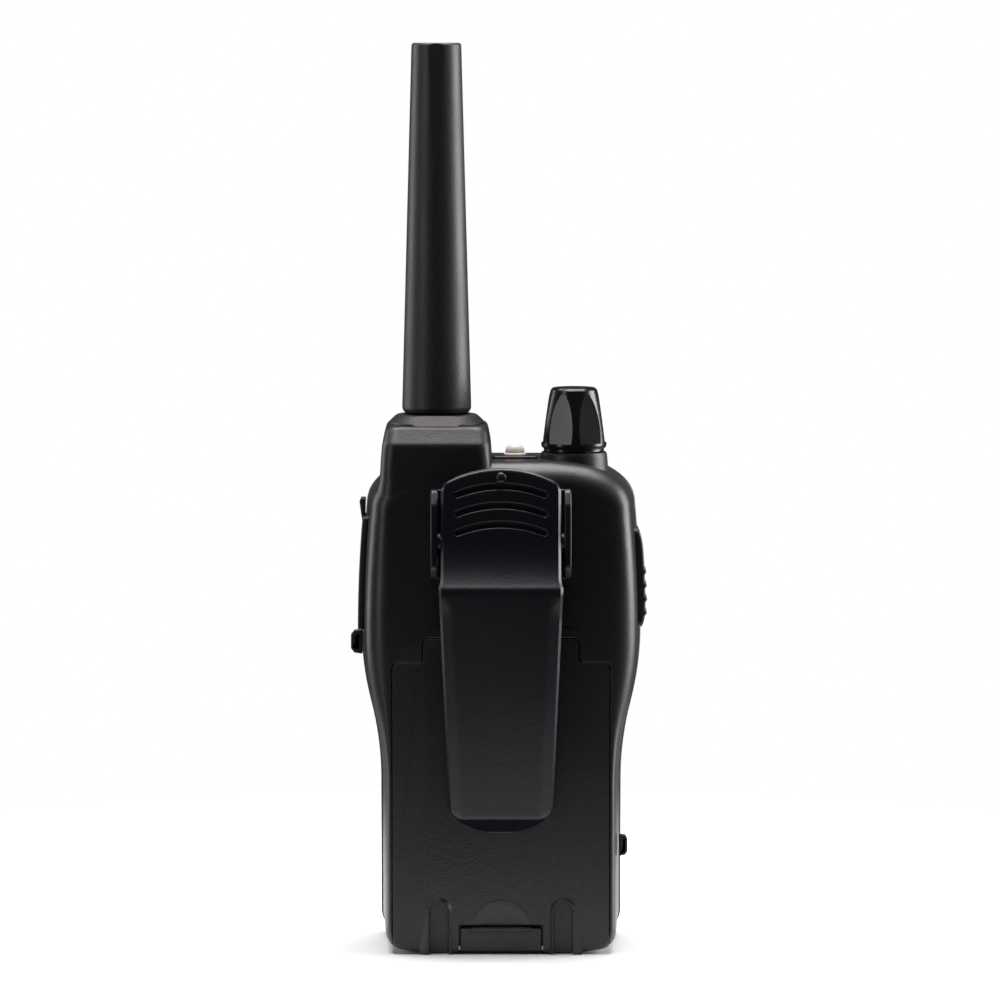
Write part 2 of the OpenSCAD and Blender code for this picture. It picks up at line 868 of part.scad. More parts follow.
module jack_cover() color(soft_black) {
    steps = 6;
    low = cover_low_z;
    heights = [for (i = [0:steps]) low + (cover_high_z - low) * i / steps];
    slab_y(side_y - cover_half_y, side_y + cover_half_y)
        polygon(concat(
            [for (z = heights) [half_width(z) + cover_proud, z]],
            [for (i = [steps:-1:0]) [half_width(heights[i]) - cover_sink, heights[i]]]
        ));
    rod_y(cover_hinge_x, side_y - cover_half_y, side_y + cover_half_y, cover_low_z, cover_hinge_r);
    slab_y(side_y - cover_tab_half_y, side_y + cover_tab_half_y)
        polygon([
            [half_width(cover_high_z) + cover_proud - 0.3, cover_high_z - 1.5],
            [half_width(cover_high_z) + cover_proud + 0.7, cover_high_z - 0.3],
            [half_width(cover_tab_z) + 1.9, cover_tab_z - 0.6],
            [half_width(cover_tab_z) + 1.3, cover_tab_z],
            [half_width(cover_tab_z) + 0.5, cover_tab_z],
            [half_width(cover_high_z) + 0.15, cover_high_z + 0.35],
            [half_width(cover_high_z) - 0.5, cover_high_z]
        ]);
}

module jack_blank(z, bore_r) {
    difference() {
        union() {
            block(
                [jack_back_x, side_y - jack_body_half, z - jack_body_half],
                [body_w / 2 - wall - 1.9, side_y + jack_body_half, z + jack_body_half]
            );
            rod_x(jack_back_x + 1, jack_face_x, side_y, z, jack_nose_r);
        }
        rod_x(jack_back_x + 1, jack_face_x + 1, side_y, z, bore_r);
    }
}

module speaker_jack() color(soft_black) {
    jack_blank(jack_z[0], speaker_bore_r);
}

module microphone_jack() color(soft_black) {
    jack_blank(jack_z[1], microphone_bore_r);
}

module charge_jack() color(soft_black) {
    jack_blank(jack_z[2], charge_bore_r);
    rod_x(jack_back_x + 0.5, jack_face_x - 1.5, side_y, jack_z[2], charge_pin_r);
}

// ---- Belt clip ----

module clip_bracket() color(black) {
    difference() {
        union() {
            slab_y(foot_y, foot_y + foot_plate)
                rounded_plate(
                    [0, (bracket_low_z + bracket_high_z) / 2],
                    [2 * bracket_half, bracket_high_z - bracket_low_z],
                    1.4
                );
            for (x = [-bracket_half, bracket_half - bracket_ear])
                slab_x(x, x + bracket_ear)
                    polygon([
                        [foot_y + 0.2, bracket_low_z + 0.6], [pin_y - 0.6, bracket_low_z + 0.8],
                        [pin_y + 1.4, bracket_low_z + 2.6], [pin_y + 1.9, pin_z],
                        [pin_y + 1.6, bracket_high_z - 3.4], [pin_y - 0.4, bracket_high_z - 0.4],
                        [foot_y + 0.2, bracket_high_z - 0.4]
                    ]);
            block([-tee_neck_half, tee_y + 0.3, tee_low_z], [tee_neck_half, foot_y + 0.3, tee_high_z]);
            block([-tee_half, tee_y, tee_low_z], [tee_half, tee_lip_y - 0.05, tee_high_z]);
        }
        rod_x(-bracket_half - 1, bracket_half + 1, pin_y, pin_z, pin_r);
    }
}

// Outer face of the clip at a height: flat thumb pad, a flare out to the crest, then the long plate.
function clip_face(z) =
    z > clip_flare_z ? pad_y - 0.5 * pow(max(0, z - 92) / 9, 2)
    : z >= clip_crest_z ? pad_y + clip_flare * pow((clip_flare_z - z) / (clip_flare_z - clip_crest_z), 2)
    : clip_tip_y + (pad_y + clip_flare - clip_tip_y) * (z - clip_tip_z) / (clip_crest_z - 1 - clip_tip_z);

module clip_profile() {
    flare_steps = 6;
    heights = concat(
        [clip_top_z, 98, 95, 92],
        [for (i = [0:flare_steps]) clip_flare_z + (clip_crest_z - clip_flare_z) * i / flare_steps],
        [clip_crest_z - 1, clip_tip_z + 0.6]
    );
    outer = [for (z = heights) [clip_face(z), z]];
    inner = [for (i = [len(heights) - 1:-1:0]) [clip_face(heights[i]) - pad_t, heights[i]]];
    polygon(concat(outer, [[clip_tip_y - 0.5, clip_tip_z]], [[clip_tip_y - pad_t - 0.3, clip_tip_z]], inner));
    polygon([
        [clip_tip_y - 0.2, clip_tip_z + 1.2], [clip_tip_y - 0.7, clip_tip_z - 1.4],
        [clip_tip_y - 1.4, clip_tip_z - 2.6], [back_y + 0.7, clip_tip_z - 2.8],
        [back_y + 0.35, clip_tip_z - 1.8], [back_y + 0.5, clip_tip_z + 0.4],
        [clip_tip_y - pad_t, clip_tip_z + 3]
    ]);
}

function clip_arch(x) = clip_top_z - clip_arch_r + sqrt(pow(clip_arch_r, 2) - x * x);

module clip_front_outline() {
    half = clip_w / 2;
    right = concat(
        [for (x = [0:2:10]) [x, clip_arch(x)]],
        [[half - 0.9, clip_arch(half - 0.9) - 0.15], [half - 0.2, clip_arch(half) - 0.7]],
        [[half, clip_arch(half) - 1.8], [half, clip_crest_z + 0.4], [clip_plate_half, clip_crest_z - 1.2]],
        [for (t = [0:30:90])
            [clip_tip_half - 2 + 2 * cos(t), clip_tip_z + 2 - 2 * sin(t)]],
        [[clip_nose_half, clip_tip_z], [clip_nose_half, clip_tip_z - 1]],
        [[clip_nose_half - 2, clip_tip_z - 3.5]]
    );
    polygon(concat(right, [for (i = [len(right) - 1:-1:1]) [-right[i][0], right[i][1]]]));
}

// One arched groove in the thumb pad, drawn as a band between two arcs.
module clip_groove(z) {
    function bow(x, drop) = z - drop - clip_groove_r + sqrt(pow(clip_groove_r, 2) - x * x);
    xs = [for (i = [-4:4]) clip_groove_half * i / 4];
    slab_y(pad_y - clip_groove_depth - 0.25, pad_y + 1)
        polygon(concat(
            [for (x = xs) [x, bow(x, 0)]],
            [for (i = [8:-1:0]) [xs[i], bow(xs[i], clip_groove_w)]]
        ));
}

module clip_lever() color(black) {
    lug_x = clip_w / 2 - 0.05;
    difference() {
        union() {
            intersection() {
                slab_x(-clip_plate_half, clip_plate_half)
                    clip_profile();
                slab_y(back_y, back_y + 14)
                    clip_front_outline();
            }
            for (x = [-lug_x, lug_x - clip_lug_w])
                difference() {
                    rod_x(x, x + clip_lug_w, pin_y, pin_z, clip_lug_r);
                    rod_x(x - 1, x + clip_lug_w + 1, pin_y, pin_z, pin_r + pin_play);
                }
            translate([0, pad_y - 0.7, clip_dome_z])
                sphere(r = clip_dome_r);
        }
        rod_x(-lug_x - 1, lug_x + 1, pin_y, pin_z, pin_r + pin_play);
        rod_x(-lug_x + clip_lug_w, lug_x - clip_lug_w, pin_y, pin_z, spring_coil_r + spring_wire_r + 0.25);
        for (z = clip_groove_z)
            clip_groove(z);
    }
}

module clip_pin() color(steel) {
    rod_x(-bracket_half + 0.05, bracket_half - 0.05, pin_y, pin_z, pin_r);
}

module clip_spring() color(steel) {
    turns = 4;
    steps = 12;
    half = 3;
    arm = 8;
    coil = [
        for (i = [0:turns * steps])
            let (a = 360 * i / steps, x = -half + 2 * half * i / (turns * steps))
                [x, pin_y - spring_coil_r * cos(a), pin_z - spring_coil_r * sin(a)]
    ];
    wire(concat(
        [[-half, foot_y + foot_plate + 0.4, pin_z + arm]],
        coil,
        [[half, foot_y + foot_plate + 0.4, pin_z - arm + 2]]
    ), spring_wire_r, 6);
}

// ---- Battery door ----

module door_slots() {
    for (sx = [-1, 1])
        translate([sx * slot_x, 0, 0]) {
            slab_y(back_y - slot_depth, back_y + 1)
                union() {
                    translate([-slot_half, -1])
                        square([2 * slot_half, slot_top_z - slot_half + 1]);
                    translate([0, slot_top_z - slot_half])
                        circle(slot_half);
                }
            slab_y(back_y - slot_depth / 2, back_y + 1)
                polygon([
                    [sx * slot_half * 0.9, 1], [sx * (slot_half + slot_bevel), 1],
                    [sx * (slot_half + 1.1), slot_top_z], [sx * slot_half * 0.3, slot_top_z + 0.7],
                    [0, slot_top_z - 1]
                ]);
        }
}

module battery_door() color(black) {
    difference() {
        union() {
            intersection() {
                slab_y(door_y, back_y + 1)
                    door_outline(0);
                case_blank();
                block([-30, 0, door_low_z], [30, 30, 80]);
            }
            block_pair([rail_inner, rail_y, rail_low_z], [door_half - 0.2, door_y + 0.2, rail_high_z]);
            block_pair([rail_inner, rail_y, rail_low_z], [rail_half, rail_y + rail_t, rail_high_z]);
            for (sx = [-1, 1])
                rod_z(sx * door_foot_x, back_y - 1.1, 0, 1, 0.75);
        }
        door_slots();
        intersection() {
            slab_y(back_y - scoop_depth, back_y + 1)
                translate([0, scoop_low_z])
                    polygon([for (t = [0:15:180])
                        [scoop_half * cos(t), (scoop_top_z - scoop_low_z) * sin(t)]]);
            block([-20, 0, 0], [20, 40, 20]);
        }
        block([-latch_half - latch_gap, 0, -1], [latch_half + latch_gap, 40, latch_cut_z]);
        rod_x(-latch_half - 1.9, latch_half + 1.9, latch_pin_y, latch_pin_z, latch_pin_r);
        block([-19.3, 0, 17.8], [19.3, door_y + foam_t + 0.1, 56.2]);
    }
}

module door_foam_strip() color([0.25, 0.25, 0.27]) {
    block([-19, door_y + 0.05, 18], [19, door_y + foam_t + 0.08, 56]);
}

module door_latch() color(soft_black) {
    outer_y = latch_pin_y + latch_t / 2;
    difference() {
        union() {
            block([-latch_half, outer_y - latch_t, latch_pin_z], [latch_half, outer_y, latch_top_z]);
            rod_x(-latch_half, latch_half, latch_pin_y, latch_pin_z, latch_t / 2);
            rod_x(-latch_half + 1.5, latch_half - 1.5, outer_y - 0.2, latch_top_z - 0.9, 0.4);
        }
        rod_x(-latch_half - 1, latch_half + 1, latch_pin_y, latch_pin_z, latch_pin_r + 0.04);
    }
}

module latch_pin() color(steel) {
    rod_x(-latch_half - 1.85, latch_half + 1.85, latch_pin_y, latch_pin_z, latch_pin_r);
}

// ---- Battery compartment ----

// The four cells lie side by side and point up and down in turn.
function cell_x(i) = (2 * i - 3) * (cell_r + 0.03);

module each_cell() {
    for (i = [0:3])
        translate([cell_x(i), cell_y, 0])
            if (i % 2 == 0)
                children();
            else
                translate([0, 0, well_low_z + well_high_z])
                    mirror([0, 0, 1])
                        children();
}

module battery_cells() color([0.25, 0.35, 0.5]) {
    top = contact_high_z - contact_t - 0.05;
    each_cell() {
        translate([0, 0, top - cell_len])
            cylinder(h = cell_len - cell_nub_h, r = cell_r - 0.05);
        translate([0, 0, top - cell_nub_h - 0.1])
            cylinder(h = cell_nub_h + 0.1, r = cell_nub_r);
    }
}

module battery_springs() color(steel) {
    low = contact_low_z + contact_t + 0.25;
    high = contact_high_z - contact_t - 0.05 - cell_len - 0.25;
    turns = 3;
    steps = 10;
    each_cell()
        wire([
            for (i = [0:turns * steps])
                let (s = i / (turns * steps), a = 360 * i / steps, r = 3.4 - 1.4 * s)
                    [r * cos(a), r * sin(a), low + (high - low) * s]
        ], 0.22, 6);
}

// Metal plates at the cells' ends: two join the cells in pairs at the top, and one joins the inner
// two at the bottom, so that all four are in series between the outer plates.
module battery_contacts() color(steel) {
    pair_half = cell_r + contact_half;
    for (x = [-2 * cell_r, 2 * cell_r])
        contact_plate(x, contact_high_z - contact_t, pair_half);
    contact_plate(0, contact_low_z, pair_half);
    for (x = [-3 * cell_r, 3 * cell_r])
        contact_plate(x, contact_low_z, contact_half);
}

module contact_plate(mid, z, half) {
    block([mid - half, cell_y - contact_half_y, z], [mid + half, cell_y + contact_half_y, z + contact_t]);
}

// ---- Electronics ----

module main_board() color(board_green) {
    difference() {
        slab_y(board_y, board_y + board_t)
            rounded_plate([0, 46.5], [2 * board_half, 83], 1.5);
        screw_places()
            rod_y(0, board_y - 1, board_y + 3, 0, boss_r + 0.3);
    }
}

module shield_can() color(steel) {
    y = board_y + board_t + 0.02;
    difference() {
        block([-15, y, 20], [15, y + 2.6, 56]);
        block([-14.7, y - 1, 20.3], [14.7, y + 2.3, 55.7]);
    }
}

module display_panel() color([0.55, 0.6, 0.55]) {
    slab_y(front_inner_y + 0.1, front_inner_y + 3)
        rounded_plate([0, window_z], display_size, 0.5);
}

module display_window() color([0.6, 0.65, 0.7, 0.5]) {
    slab_y(front_y + 0.05, front_y + 0.05 + window_t)
        rounded_plate([0, window_z], window_size - [0.2, 0.2], 1.9);
}

module keypad_sheet() color([0.3, 0.3, 0.32]) {
    y = front_inner_y + key_stem + key_travel + 0.3;
    slab_y(y, y + 1)
        rounded_plate([0, 51], [40, 18], 2);
}

module key(i) {
    k = key_places[i];
    slab_y(front_y - key_proud, front_inner_y + key_stem)
        rounded_plate([k[0], k[1]], [k[2], k[3]], 1.2);
    slab_y(front_inner_y + 0.1, front_inner_y + 1.1)
        rounded_plate([k[0], k[1]], [k[2] + 2 * key_flange, k[3] + 2 * key_flange], 1.2);
}

module up_key() color(soft_black) {
    key(0);
}

module down_key() color(soft_black) {
    key(1);
}

module menu_key() color(soft_black) {
    key(2);
}

module scan_key() color(soft_black) {
    key(3);
}

module call_key() color(soft_black) {
    key(4);
}

module lock_key() color(soft_black) {
    key(5);
}

module speaker_screen() color([0.2, 0.2, 0.2]) {
    rod_y(0, front_inner_y + 0.05, front_inner_y + 0.25, grille_z, 14.6);
}

module speaker_frame() color(steel) {
    y = front_inner_y + 0.3;
    difference() {
        union() {
            rod_y(0, y, y + 1, grille_z, 15.5);
            rod_y(0, y + 0.9, y + 4, grille_z, 11);
        }
        rod_y(0, y - 1, y + 3.2, grille_z, 10);
        rod_y(0, y - 1, y + 0.6, grille_z, 14);
    }
}

module speaker_cone() color([0.15, 0.15, 0.16]) {
    translate([0, front_inner_y + 0.32, grille_z])
        rotate([-90, 0, 0])
            rotate_extrude()
                polygon([
                    [0, 1.2], [4, 1.6], [9.5, 0.25], [13.8, 0.25],
                    [13.8, 0.5], [9.7, 0.55], [4, 2.1], [0, 1.7]
                ]);
}

module speaker_magnet() color(steel) {
    rod_y(0, front_inner_y + 4.32, front_inner_y + 7.5, grille_z, 8);
}

module microphone() color(steel) {
    rod_y(mic_place[0], front_inner_y + 0.1, front_inner_y + 2.3, mic_place[1], 2);
}

front_case();
rear_case();
case_screws();
antenna_collar();
antenna_sleeve();
antenna_stud();
antenna_nut();
antenna_core();
antenna_coil();
indicator_lens();
indicator_led();
volume_knob();
potentiometer_shaft();
potentiometer();
potentiometer_nut();
ptt_button();
ptt_switch();
jack_cover();
speaker_jack();
microphone_jack();
charge_jack();
lanyard_loop();
side_eyelet();
clip_bracket();
clip_lever();
clip_pin();
clip_spring();
battery_door();
door_foam_strip();
door_latch();
latch_pin();
battery_cells();
battery_springs();
battery_contacts();
main_board();
shield_can();
display_panel();
display_window();
keypad_sheet();
up_key();
down_key();
menu_key();
scan_key();
call_key();
lock_key();
speaker_screen();
speaker_frame();
speaker_cone();
speaker_magnet();
microphone();
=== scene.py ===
"""A black handheld two-way radio seen from behind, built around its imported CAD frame.

Pieces are built in millimetres in the CAD's axes, with +Y out of the back and +Z up, and finish_piece scales
them to metres.
"""

import json
import math

import bmesh
import bpy
from mathutils import Matrix, Vector


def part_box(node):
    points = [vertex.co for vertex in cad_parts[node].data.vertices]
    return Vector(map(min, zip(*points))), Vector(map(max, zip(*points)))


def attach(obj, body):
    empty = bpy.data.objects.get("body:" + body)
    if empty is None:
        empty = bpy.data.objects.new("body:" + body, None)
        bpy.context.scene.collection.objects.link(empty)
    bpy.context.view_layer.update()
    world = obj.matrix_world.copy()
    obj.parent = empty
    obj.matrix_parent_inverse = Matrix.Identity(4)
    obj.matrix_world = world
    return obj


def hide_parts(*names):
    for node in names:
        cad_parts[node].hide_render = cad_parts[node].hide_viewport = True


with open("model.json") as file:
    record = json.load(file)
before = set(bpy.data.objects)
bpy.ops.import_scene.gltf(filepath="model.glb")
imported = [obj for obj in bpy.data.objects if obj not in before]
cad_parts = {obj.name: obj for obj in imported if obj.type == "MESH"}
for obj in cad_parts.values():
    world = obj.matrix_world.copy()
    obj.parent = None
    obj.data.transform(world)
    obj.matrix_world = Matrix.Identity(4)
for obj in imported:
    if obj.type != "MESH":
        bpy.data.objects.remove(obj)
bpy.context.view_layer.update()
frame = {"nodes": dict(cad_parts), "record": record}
MM = 0.001


# ---------------------------------------------------------------- places taken from the CAD frame
def cad(node):
    """(lowest, highest) corner of a CAD node in millimetres."""
    low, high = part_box(node)
    return low / MM, high / MM


case_low, case_high = cad("rear_case")
front_low, _ = cad("front_case")
BACK = round(case_high.y, 3)
FRONT = round(front_low.y, 3)
PART = round(case_low.y, 3)
BODY_HALF = round(case_high.x, 3)
PEDESTAL_TOP = round(case_high.z, 3)


# ---------------------------------------------------------------- mesh helpers
def add_mesh(name, verts, faces):
    """A closed mesh object from millimetre coordinates, with its normals facing out."""
    mesh = bpy.data.meshes.new(name)
    mesh.from_pydata([Vector(v) for v in verts], [], faces)
    bm = bmesh.new()
    bm.from_mesh(mesh)
    bmesh.ops.remove_doubles(bm, verts=bm.verts, dist=1e-4)
    bmesh.ops.recalc_face_normals(bm, faces=bm.faces)
    bm.to_mesh(mesh)
    bm.free()
    obj = bpy.data.objects.new(name, mesh)
    bpy.context.scene.collection.objects.link(obj)
    return obj


def stack(name, rings):
    """Joins closed rings of equal length into one skin, capped at both ends."""
    n = len(rings[0])
    verts = [p for ring in rings for p in ring]
    faces = [list(range(n - 1, -1, -1)), [(len(rings) - 1) * n + i for i in range(n)]]
    for k in range(len(rings) - 1):
        for i in range(n):
            j = (i + 1) % n
            faces.append([k * n + i, k * n + j, (k + 1) * n + j, (k + 1) * n + i])
    return add_mesh(name, verts, faces)


def circle(u, v, r, sides):
    """A counter-clockwise circle."""
    angles = [2 * math.pi * i / sides for i in range(sides)]
    return [(u + r * math.cos(a), v + r * math.sin(a)) for a in angles]


def arc(u, v, r, degrees):
    """The points of a circle at the given angles."""
    return [(u + r * math.cos(math.radians(t)), v + r * math.sin(math.radians(t))) for t in degrees]


def at_height(outline, z):
    return [(x, y, z) for x, y in outline]


def at_depth(outline, y):
    return [(x, y, z) for x, z in outline]


def turned(name, centre, profile, sides=72):
    """A surface of revolution about a vertical axis: profile is (radius, height) from bottom to top."""
    return stack(name, [at_height(circle(*centre, r, sides), z) for r, z in profile])


def quarter(r, d):
    """How far a rounding of radius r has drawn in at a distance d from the end that it rounds."""
    return r - math.sqrt(max(0, r ** 2 - (r - min(d, r)) ** 2))


def inset(outline, d):
    """A counter-clockwise outline moved inward by d at every corner."""
    n = len(outline)
    moved = []
    for i, (x, y) in enumerate(outline):
        before, after = outline[i - 1], outline[(i + 1) % n]
        e1 = Vector((x - before[0], y - before[1])).normalized()
        e2 = Vector((after[0] - x, after[1] - y)).normalized()
        n1, n2 = Vector((-e1.y, e1.x)), Vector((-e2.y, e2.x))
        middle = (n1 + n2).normalized()
        step = d / max(0.4, middle.dot(n1))
        moved.append((x + middle.x * step, y + middle.y * step))
    return moved


PLACE = {
    "x": lambda u, v, w: (w, u, v),
    "y": lambda u, v, w: (u, w, v),
    "z": lambda u, v, w: (u, v, w),
}


def prism(name, axis, outline, low, high, round_low=0.0, round_high=0.0, steps=4):
    """An outline pushed along an axis, with each end rounded. A negative rounding flares outward."""
    place = PLACE[axis]
    turns = [math.pi / 2 * t / steps for t in range(steps + 1)]
    levels = [(0, low)]
    if round_low > 0:
        levels = [(round_low * (1 - math.sin(a)), low + round_low * (1 - math.cos(a))) for a in turns]
    if round_high > 0:
        for a in reversed(turns):
            levels.append((round_high * (1 - math.sin(a)), high - round_high * (1 - math.cos(a))))
    elif round_high < 0:
        for a in turns:
            levels.append((round_high * (1 - math.cos(a)), high + round_high * (1 - math.sin(a))))
        levels.append((round_high, high + 1))
    else:
        levels.append((0, high))
    return stack(name, [[place(u, v, w) for u, v in inset(outline, d)] for d, w in levels])


def rounded_rect(cx, cy, width, height, r, steps=6):
    """A counter-clockwise rectangle with rounded corners."""
    points = []
    for k, (sx, sy) in enumerate([(1, 1), (-1, 1), (-1, -1), (1, -1)]):
        for t in range(steps + 1):
            a = math.pi / 2 * (k + t / steps)
            points.append((
                cx + sx * (width / 2 - r) + r * math.cos(a),
                cy + sy * (height / 2 - r) + r * math.sin(a),
            ))
    return points


def rounded_outline(corners, steps=5):
    """A counter-clockwise outline of (x, y, radius) corners, each rounded to its radius."""
    n = len(corners)
    points = []
    for i, (x, y, r) in enumerate(corners):
        p = Vector((x, y))
        a = (Vector(corners[i - 1][:2]) - p).normalized()
        b = (Vector(corners[(i + 1) % n][:2]) - p).normalized()
        half = math.acos(max(-1, min(1, a.dot(b)))) / 2
        if r <= 0 or half > math.pi / 2 - 0.02:
            points.append((x, y))
            continue
        reach = r / math.tan(half)
        centre = p + (a + b).normalized() * (r / math.sin(half))
        start, end = p + a * reach - centre, p + b * reach - centre
        turn = math.atan2(start.x * end.y - start.y * end.x, start.dot(end))
        for t in range(steps + 1):
            c, s = math.cos(turn * t / steps), math.sin(turn * t / steps)
            points.append((centre.x + start.x * c - start.y * s, centre.y + start.x * s + start.y * c))
    return points


def box(name, low, high, r=0.0):
    """A block between two corners, with its upright edges and both ends rounded if r is given."""
    if r:
        middle = [(a + b) / 2 for a, b in zip(low, high)]
        outline = rounded_rect(middle[0], middle[1], high[0] - low[0], high[1] - low[1], r, 3)
    else:
        outline = [(low[0], low[1]), (high[0], low[1]), (high[0], high[1]), (low[0], high[1])]
    return prism(name, "z", outline, low[2], high[2], r, r, 3)


def box_pair(name, low, high, r=0.0):
    """A block on the +X side and its mirror image."""
    mirror_low, mirror_high = (-high[0], *low[1:]), (-low[0], *high[1:])
    return [box(f"{name}_left", low, high, r), box(f"{name}_right", mirror_low, mirror_high, r)]


def rod(name, axis, u, v, low, high, r, sides=32, round_ends=0.0):
    """A round bar along an axis, through (u, v) of the plane across it."""
    return prism(name, axis, circle(u, v, r, sides), low, high, round_ends, round_ends, 3)


def move(obj, *place):
    """Shifts a piece's mesh."""
    obj.data.transform(Matrix.Translation(place))


def rotate(obj, degrees, axis):
    """Turns a piece about an axis through the origin."""
    obj.data.transform(Matrix.Rotation(math.radians(degrees), 4, axis))


def bake_modifiers(obj):
    """Replaces a piece's mesh with the result of its modifiers."""
    graph = bpy.context.evaluated_depsgraph_get()
    mesh = bpy.data.meshes.new_from_object(obj.evaluated_get(graph))
    obj.modifiers.clear()
    old = obj.data
    obj.data = mesh
    bpy.data.meshes.remove(old)


def combine(obj, others, operation):
    """Applies boolean steps one after another, and removes the tools."""
    for other in others:
        step = obj.modifiers.new("step", "BOOLEAN")
        step.solver = "MANIFOLD"
        step.operation = operation
        step.object = other
        bake_modifiers(obj)
        tool = other.data
        bpy.data.objects.remove(other)
        bpy.data.meshes.remove(tool)
    return obj


def carve(obj, *tools):
    return combine(obj, tools, "DIFFERENCE")


def join(obj, *parts):
    return combine(obj, parts, "UNION")


def finish_piece(obj, body, material, nodes=(), angle=32):
    """Scales a piece to metres, smooths and paints it, ties it to its body and hides the CAD nodes it stands
    in for.
    """
    obj.data.transform(Matrix.Scale(MM, 4))
    obj.data.shade_smooth()
    obj.data.set_sharp_from_angle(angle=math.radians(angle))
    # Big flat faces keep their own normal, so that they don't pick up the shading of small roundings.
    even = obj.modifiers.new("even", "WEIGHTED_NORMAL")
    even.keep_sharp = True
    bake_modifiers(obj)
    obj.data.materials.clear()
    obj.data.materials.append(material)
    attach(obj, body)
    if nodes:
        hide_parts(*nodes)
    return obj


# ---------------------------------------------------------------- materials
def new_material(name, colour, roughness, metallic=0.0, **sockets):
    """A plain shader. Further sockets are given by name, with _ for each space."""
    material = bpy.data.materials.new(name)
    material.use_nodes = True
    shader = material.node_tree.nodes["Principled BSDF"]
    shader.inputs["Base Color"].default_value = (*colour, 1)
    shader.inputs["Roughness"].default_value = roughness
    shader.inputs["Metallic"].default_value = metallic
    for key, value in sockets.items():
        shader.inputs[key.replace("_", " ")].default_value = value
    return material


def link(tree, source, target):
    tree.links.new(source, target)


def texture(tree, kind, scale, detail=2.0, stretch=None):
    """A noise-like texture in object space, with its scale in features per metre."""
    coordinates = tree.nodes.new("ShaderNodeTexCoord")
    source = coordinates.outputs["Object"]
    if stretch:
        mapping = tree.nodes.new("ShaderNodeMapping")
        mapping.inputs["Scale"].default_value = stretch
        link(tree, source, mapping.inputs["Vector"])
        source = mapping.outputs["Vector"]
    node = tree.nodes.new(kind)
    node.inputs["Scale"].default_value = scale
    if "Detail" in node.inputs:
        node.inputs["Detail"].default_value = detail
    link(tree, source, node.inputs["Vector"])
    return node


def ramp(tree, source, low, high, start=0.35, end=0.65):
    """Maps a 0 to 1 value to a range, clamped at both ends."""
    node = tree.nodes.new("ShaderNodeMapRange")
    node.inputs["From Min"].default_value = start
    node.inputs["From Max"].default_value = end
    node.inputs["To Min"].default_value = low
    node.inputs["To Max"].default_value = high
    link(tree, source, node.inputs["Value"])
    return node.outputs["Result"]


def colour_between(tree, factor, dark, light):
    """The dark colour where the factor is 0 and the light one where it is 1."""
    node = tree.nodes.new("ShaderNodeMix")
    node.data_type = "RGBA"
    node.inputs["A"].default_value = (*dark, 1)
    node.inputs["B"].default_value = (*light, 1)
    link(tree, factor, node.inputs["Factor"])
    return node.outputs["Result"]


def add_bumps(tree, layers):
    """Chains bump nodes: each layer is (height socket, strength, distance in metres)."""
    shader = tree.nodes["Principled BSDF"]
    previous = None
    for height, strength, distance in layers:
        bump = tree.nodes.new("ShaderNodeBump")
        bump.inputs["Strength"].default_value = strength
        bump.inputs["Distance"].default_value = distance
        link(tree, height, bump.inputs["Height"])
        if previous:
            link(tree, previous, bump.inputs["Normal"])
        previous = bump.outputs["Normal"]
    link(tree, previous, shader.inputs["Normal"])


def moulded_plastic(name, colour, roughness, grain, grain_depth, edge_paling=0.5, specular=0.5):
    """Black moulded plastic: a fine spark texture, faint handling marks and slightly paler edges."""
    tint = (1, 0.965, 1, 1)
    material = new_material(name, colour, roughness, Specular_IOR_Level=specular, Specular_Tint=tint)
    tree = material.node_tree
    shader = tree.nodes["Principled BSDF"]
    fine = texture(tree, "ShaderNodeTexNoise", grain, 3.0)
    coarse = texture(tree, "ShaderNodeTexNoise", grain * 0.3, 2.0)
    handling = texture(tree, "ShaderNodeTexNoise", 38, 4.0)
    # Convex edges, found from the mesh's pointiness, are coloured paler than the flat faces.
    edges = tree.nodes.new("ShaderNodeNewGeometry")
    pale_edge = ramp(tree, edges.outputs["Pointiness"], 0, edge_paling, 0.52, 0.60)
    smudge = ramp(tree, handling.outputs["Fac"], 0, 0.35)
    total = tree.nodes.new("ShaderNodeMath")
    total.operation = "ADD"
    total.use_clamp = True
    link(tree, pale_edge, total.inputs[0])
    link(tree, smudge, total.inputs[1])
    pale = [c * 1.7 + 0.004 for c in colour]
    link(tree, colour_between(tree, total.outputs[0], colour, pale), shader.inputs["Base Color"])
    rough = ramp(tree, handling.outputs["Fac"], roughness + 0.04, roughness - 0.05)
    link(tree, rough, shader.inputs["Roughness"])
    add_bumps(tree, [
        (coarse.outputs["Fac"], 0.25, grain_depth * 2),
        (fine.outputs["Fac"], 0.6, grain_depth),
    ])
    return material


def metal(name, colour, roughness):
    """Plated or drawn metal with fine brushing."""
    material = new_material(name, colour, roughness, 1.0)
    tree = material.node_tree
    shader = tree.nodes["Principled BSDF"]
    brush = texture(tree, "ShaderNodeTexNoise", 900, 3.0, (1, 1, 0.08))
    patches = texture(tree, "ShaderNodeTexNoise", 120, 2.0)
    rough = ramp(tree, brush.outputs["Fac"], roughness - 0.06, roughness + 0.1)
    link(tree, rough, shader.inputs["Roughness"])
    dull = [c * 0.8 for c in colour]
    patchiness = ramp(tree, patches.outputs["Fac"], 0, 1)
    link(tree, colour_between(tree, patchiness, dull, colour), shader.inputs["Base Color"])
    add_bumps(tree, [(brush.outputs["Fac"], 0.15, 0.00001)])
    return material


def mottled(name, dark, light, roughness, scale, bump=0.00002, **sockets):
    """A plain material with two close tones and a fine surface."""
    material = new_material(name, dark, roughness, **sockets)
    tree = material.node_tree
    shader = tree.nodes["Principled BSDF"]
    noise = texture(tree, "ShaderNodeTexNoise", scale, 3.0)
    tone = ramp(tree, noise.outputs["Fac"], 0, 1)
    link(tree, colour_between(tree, tone, dark, light), shader.inputs["Base Color"])
    fine = texture(tree, "ShaderNodeTexNoise", scale * 9, 2.0)
    add_bumps(tree, [(fine.outputs["Fac"], 0.4, bump)])
    return material


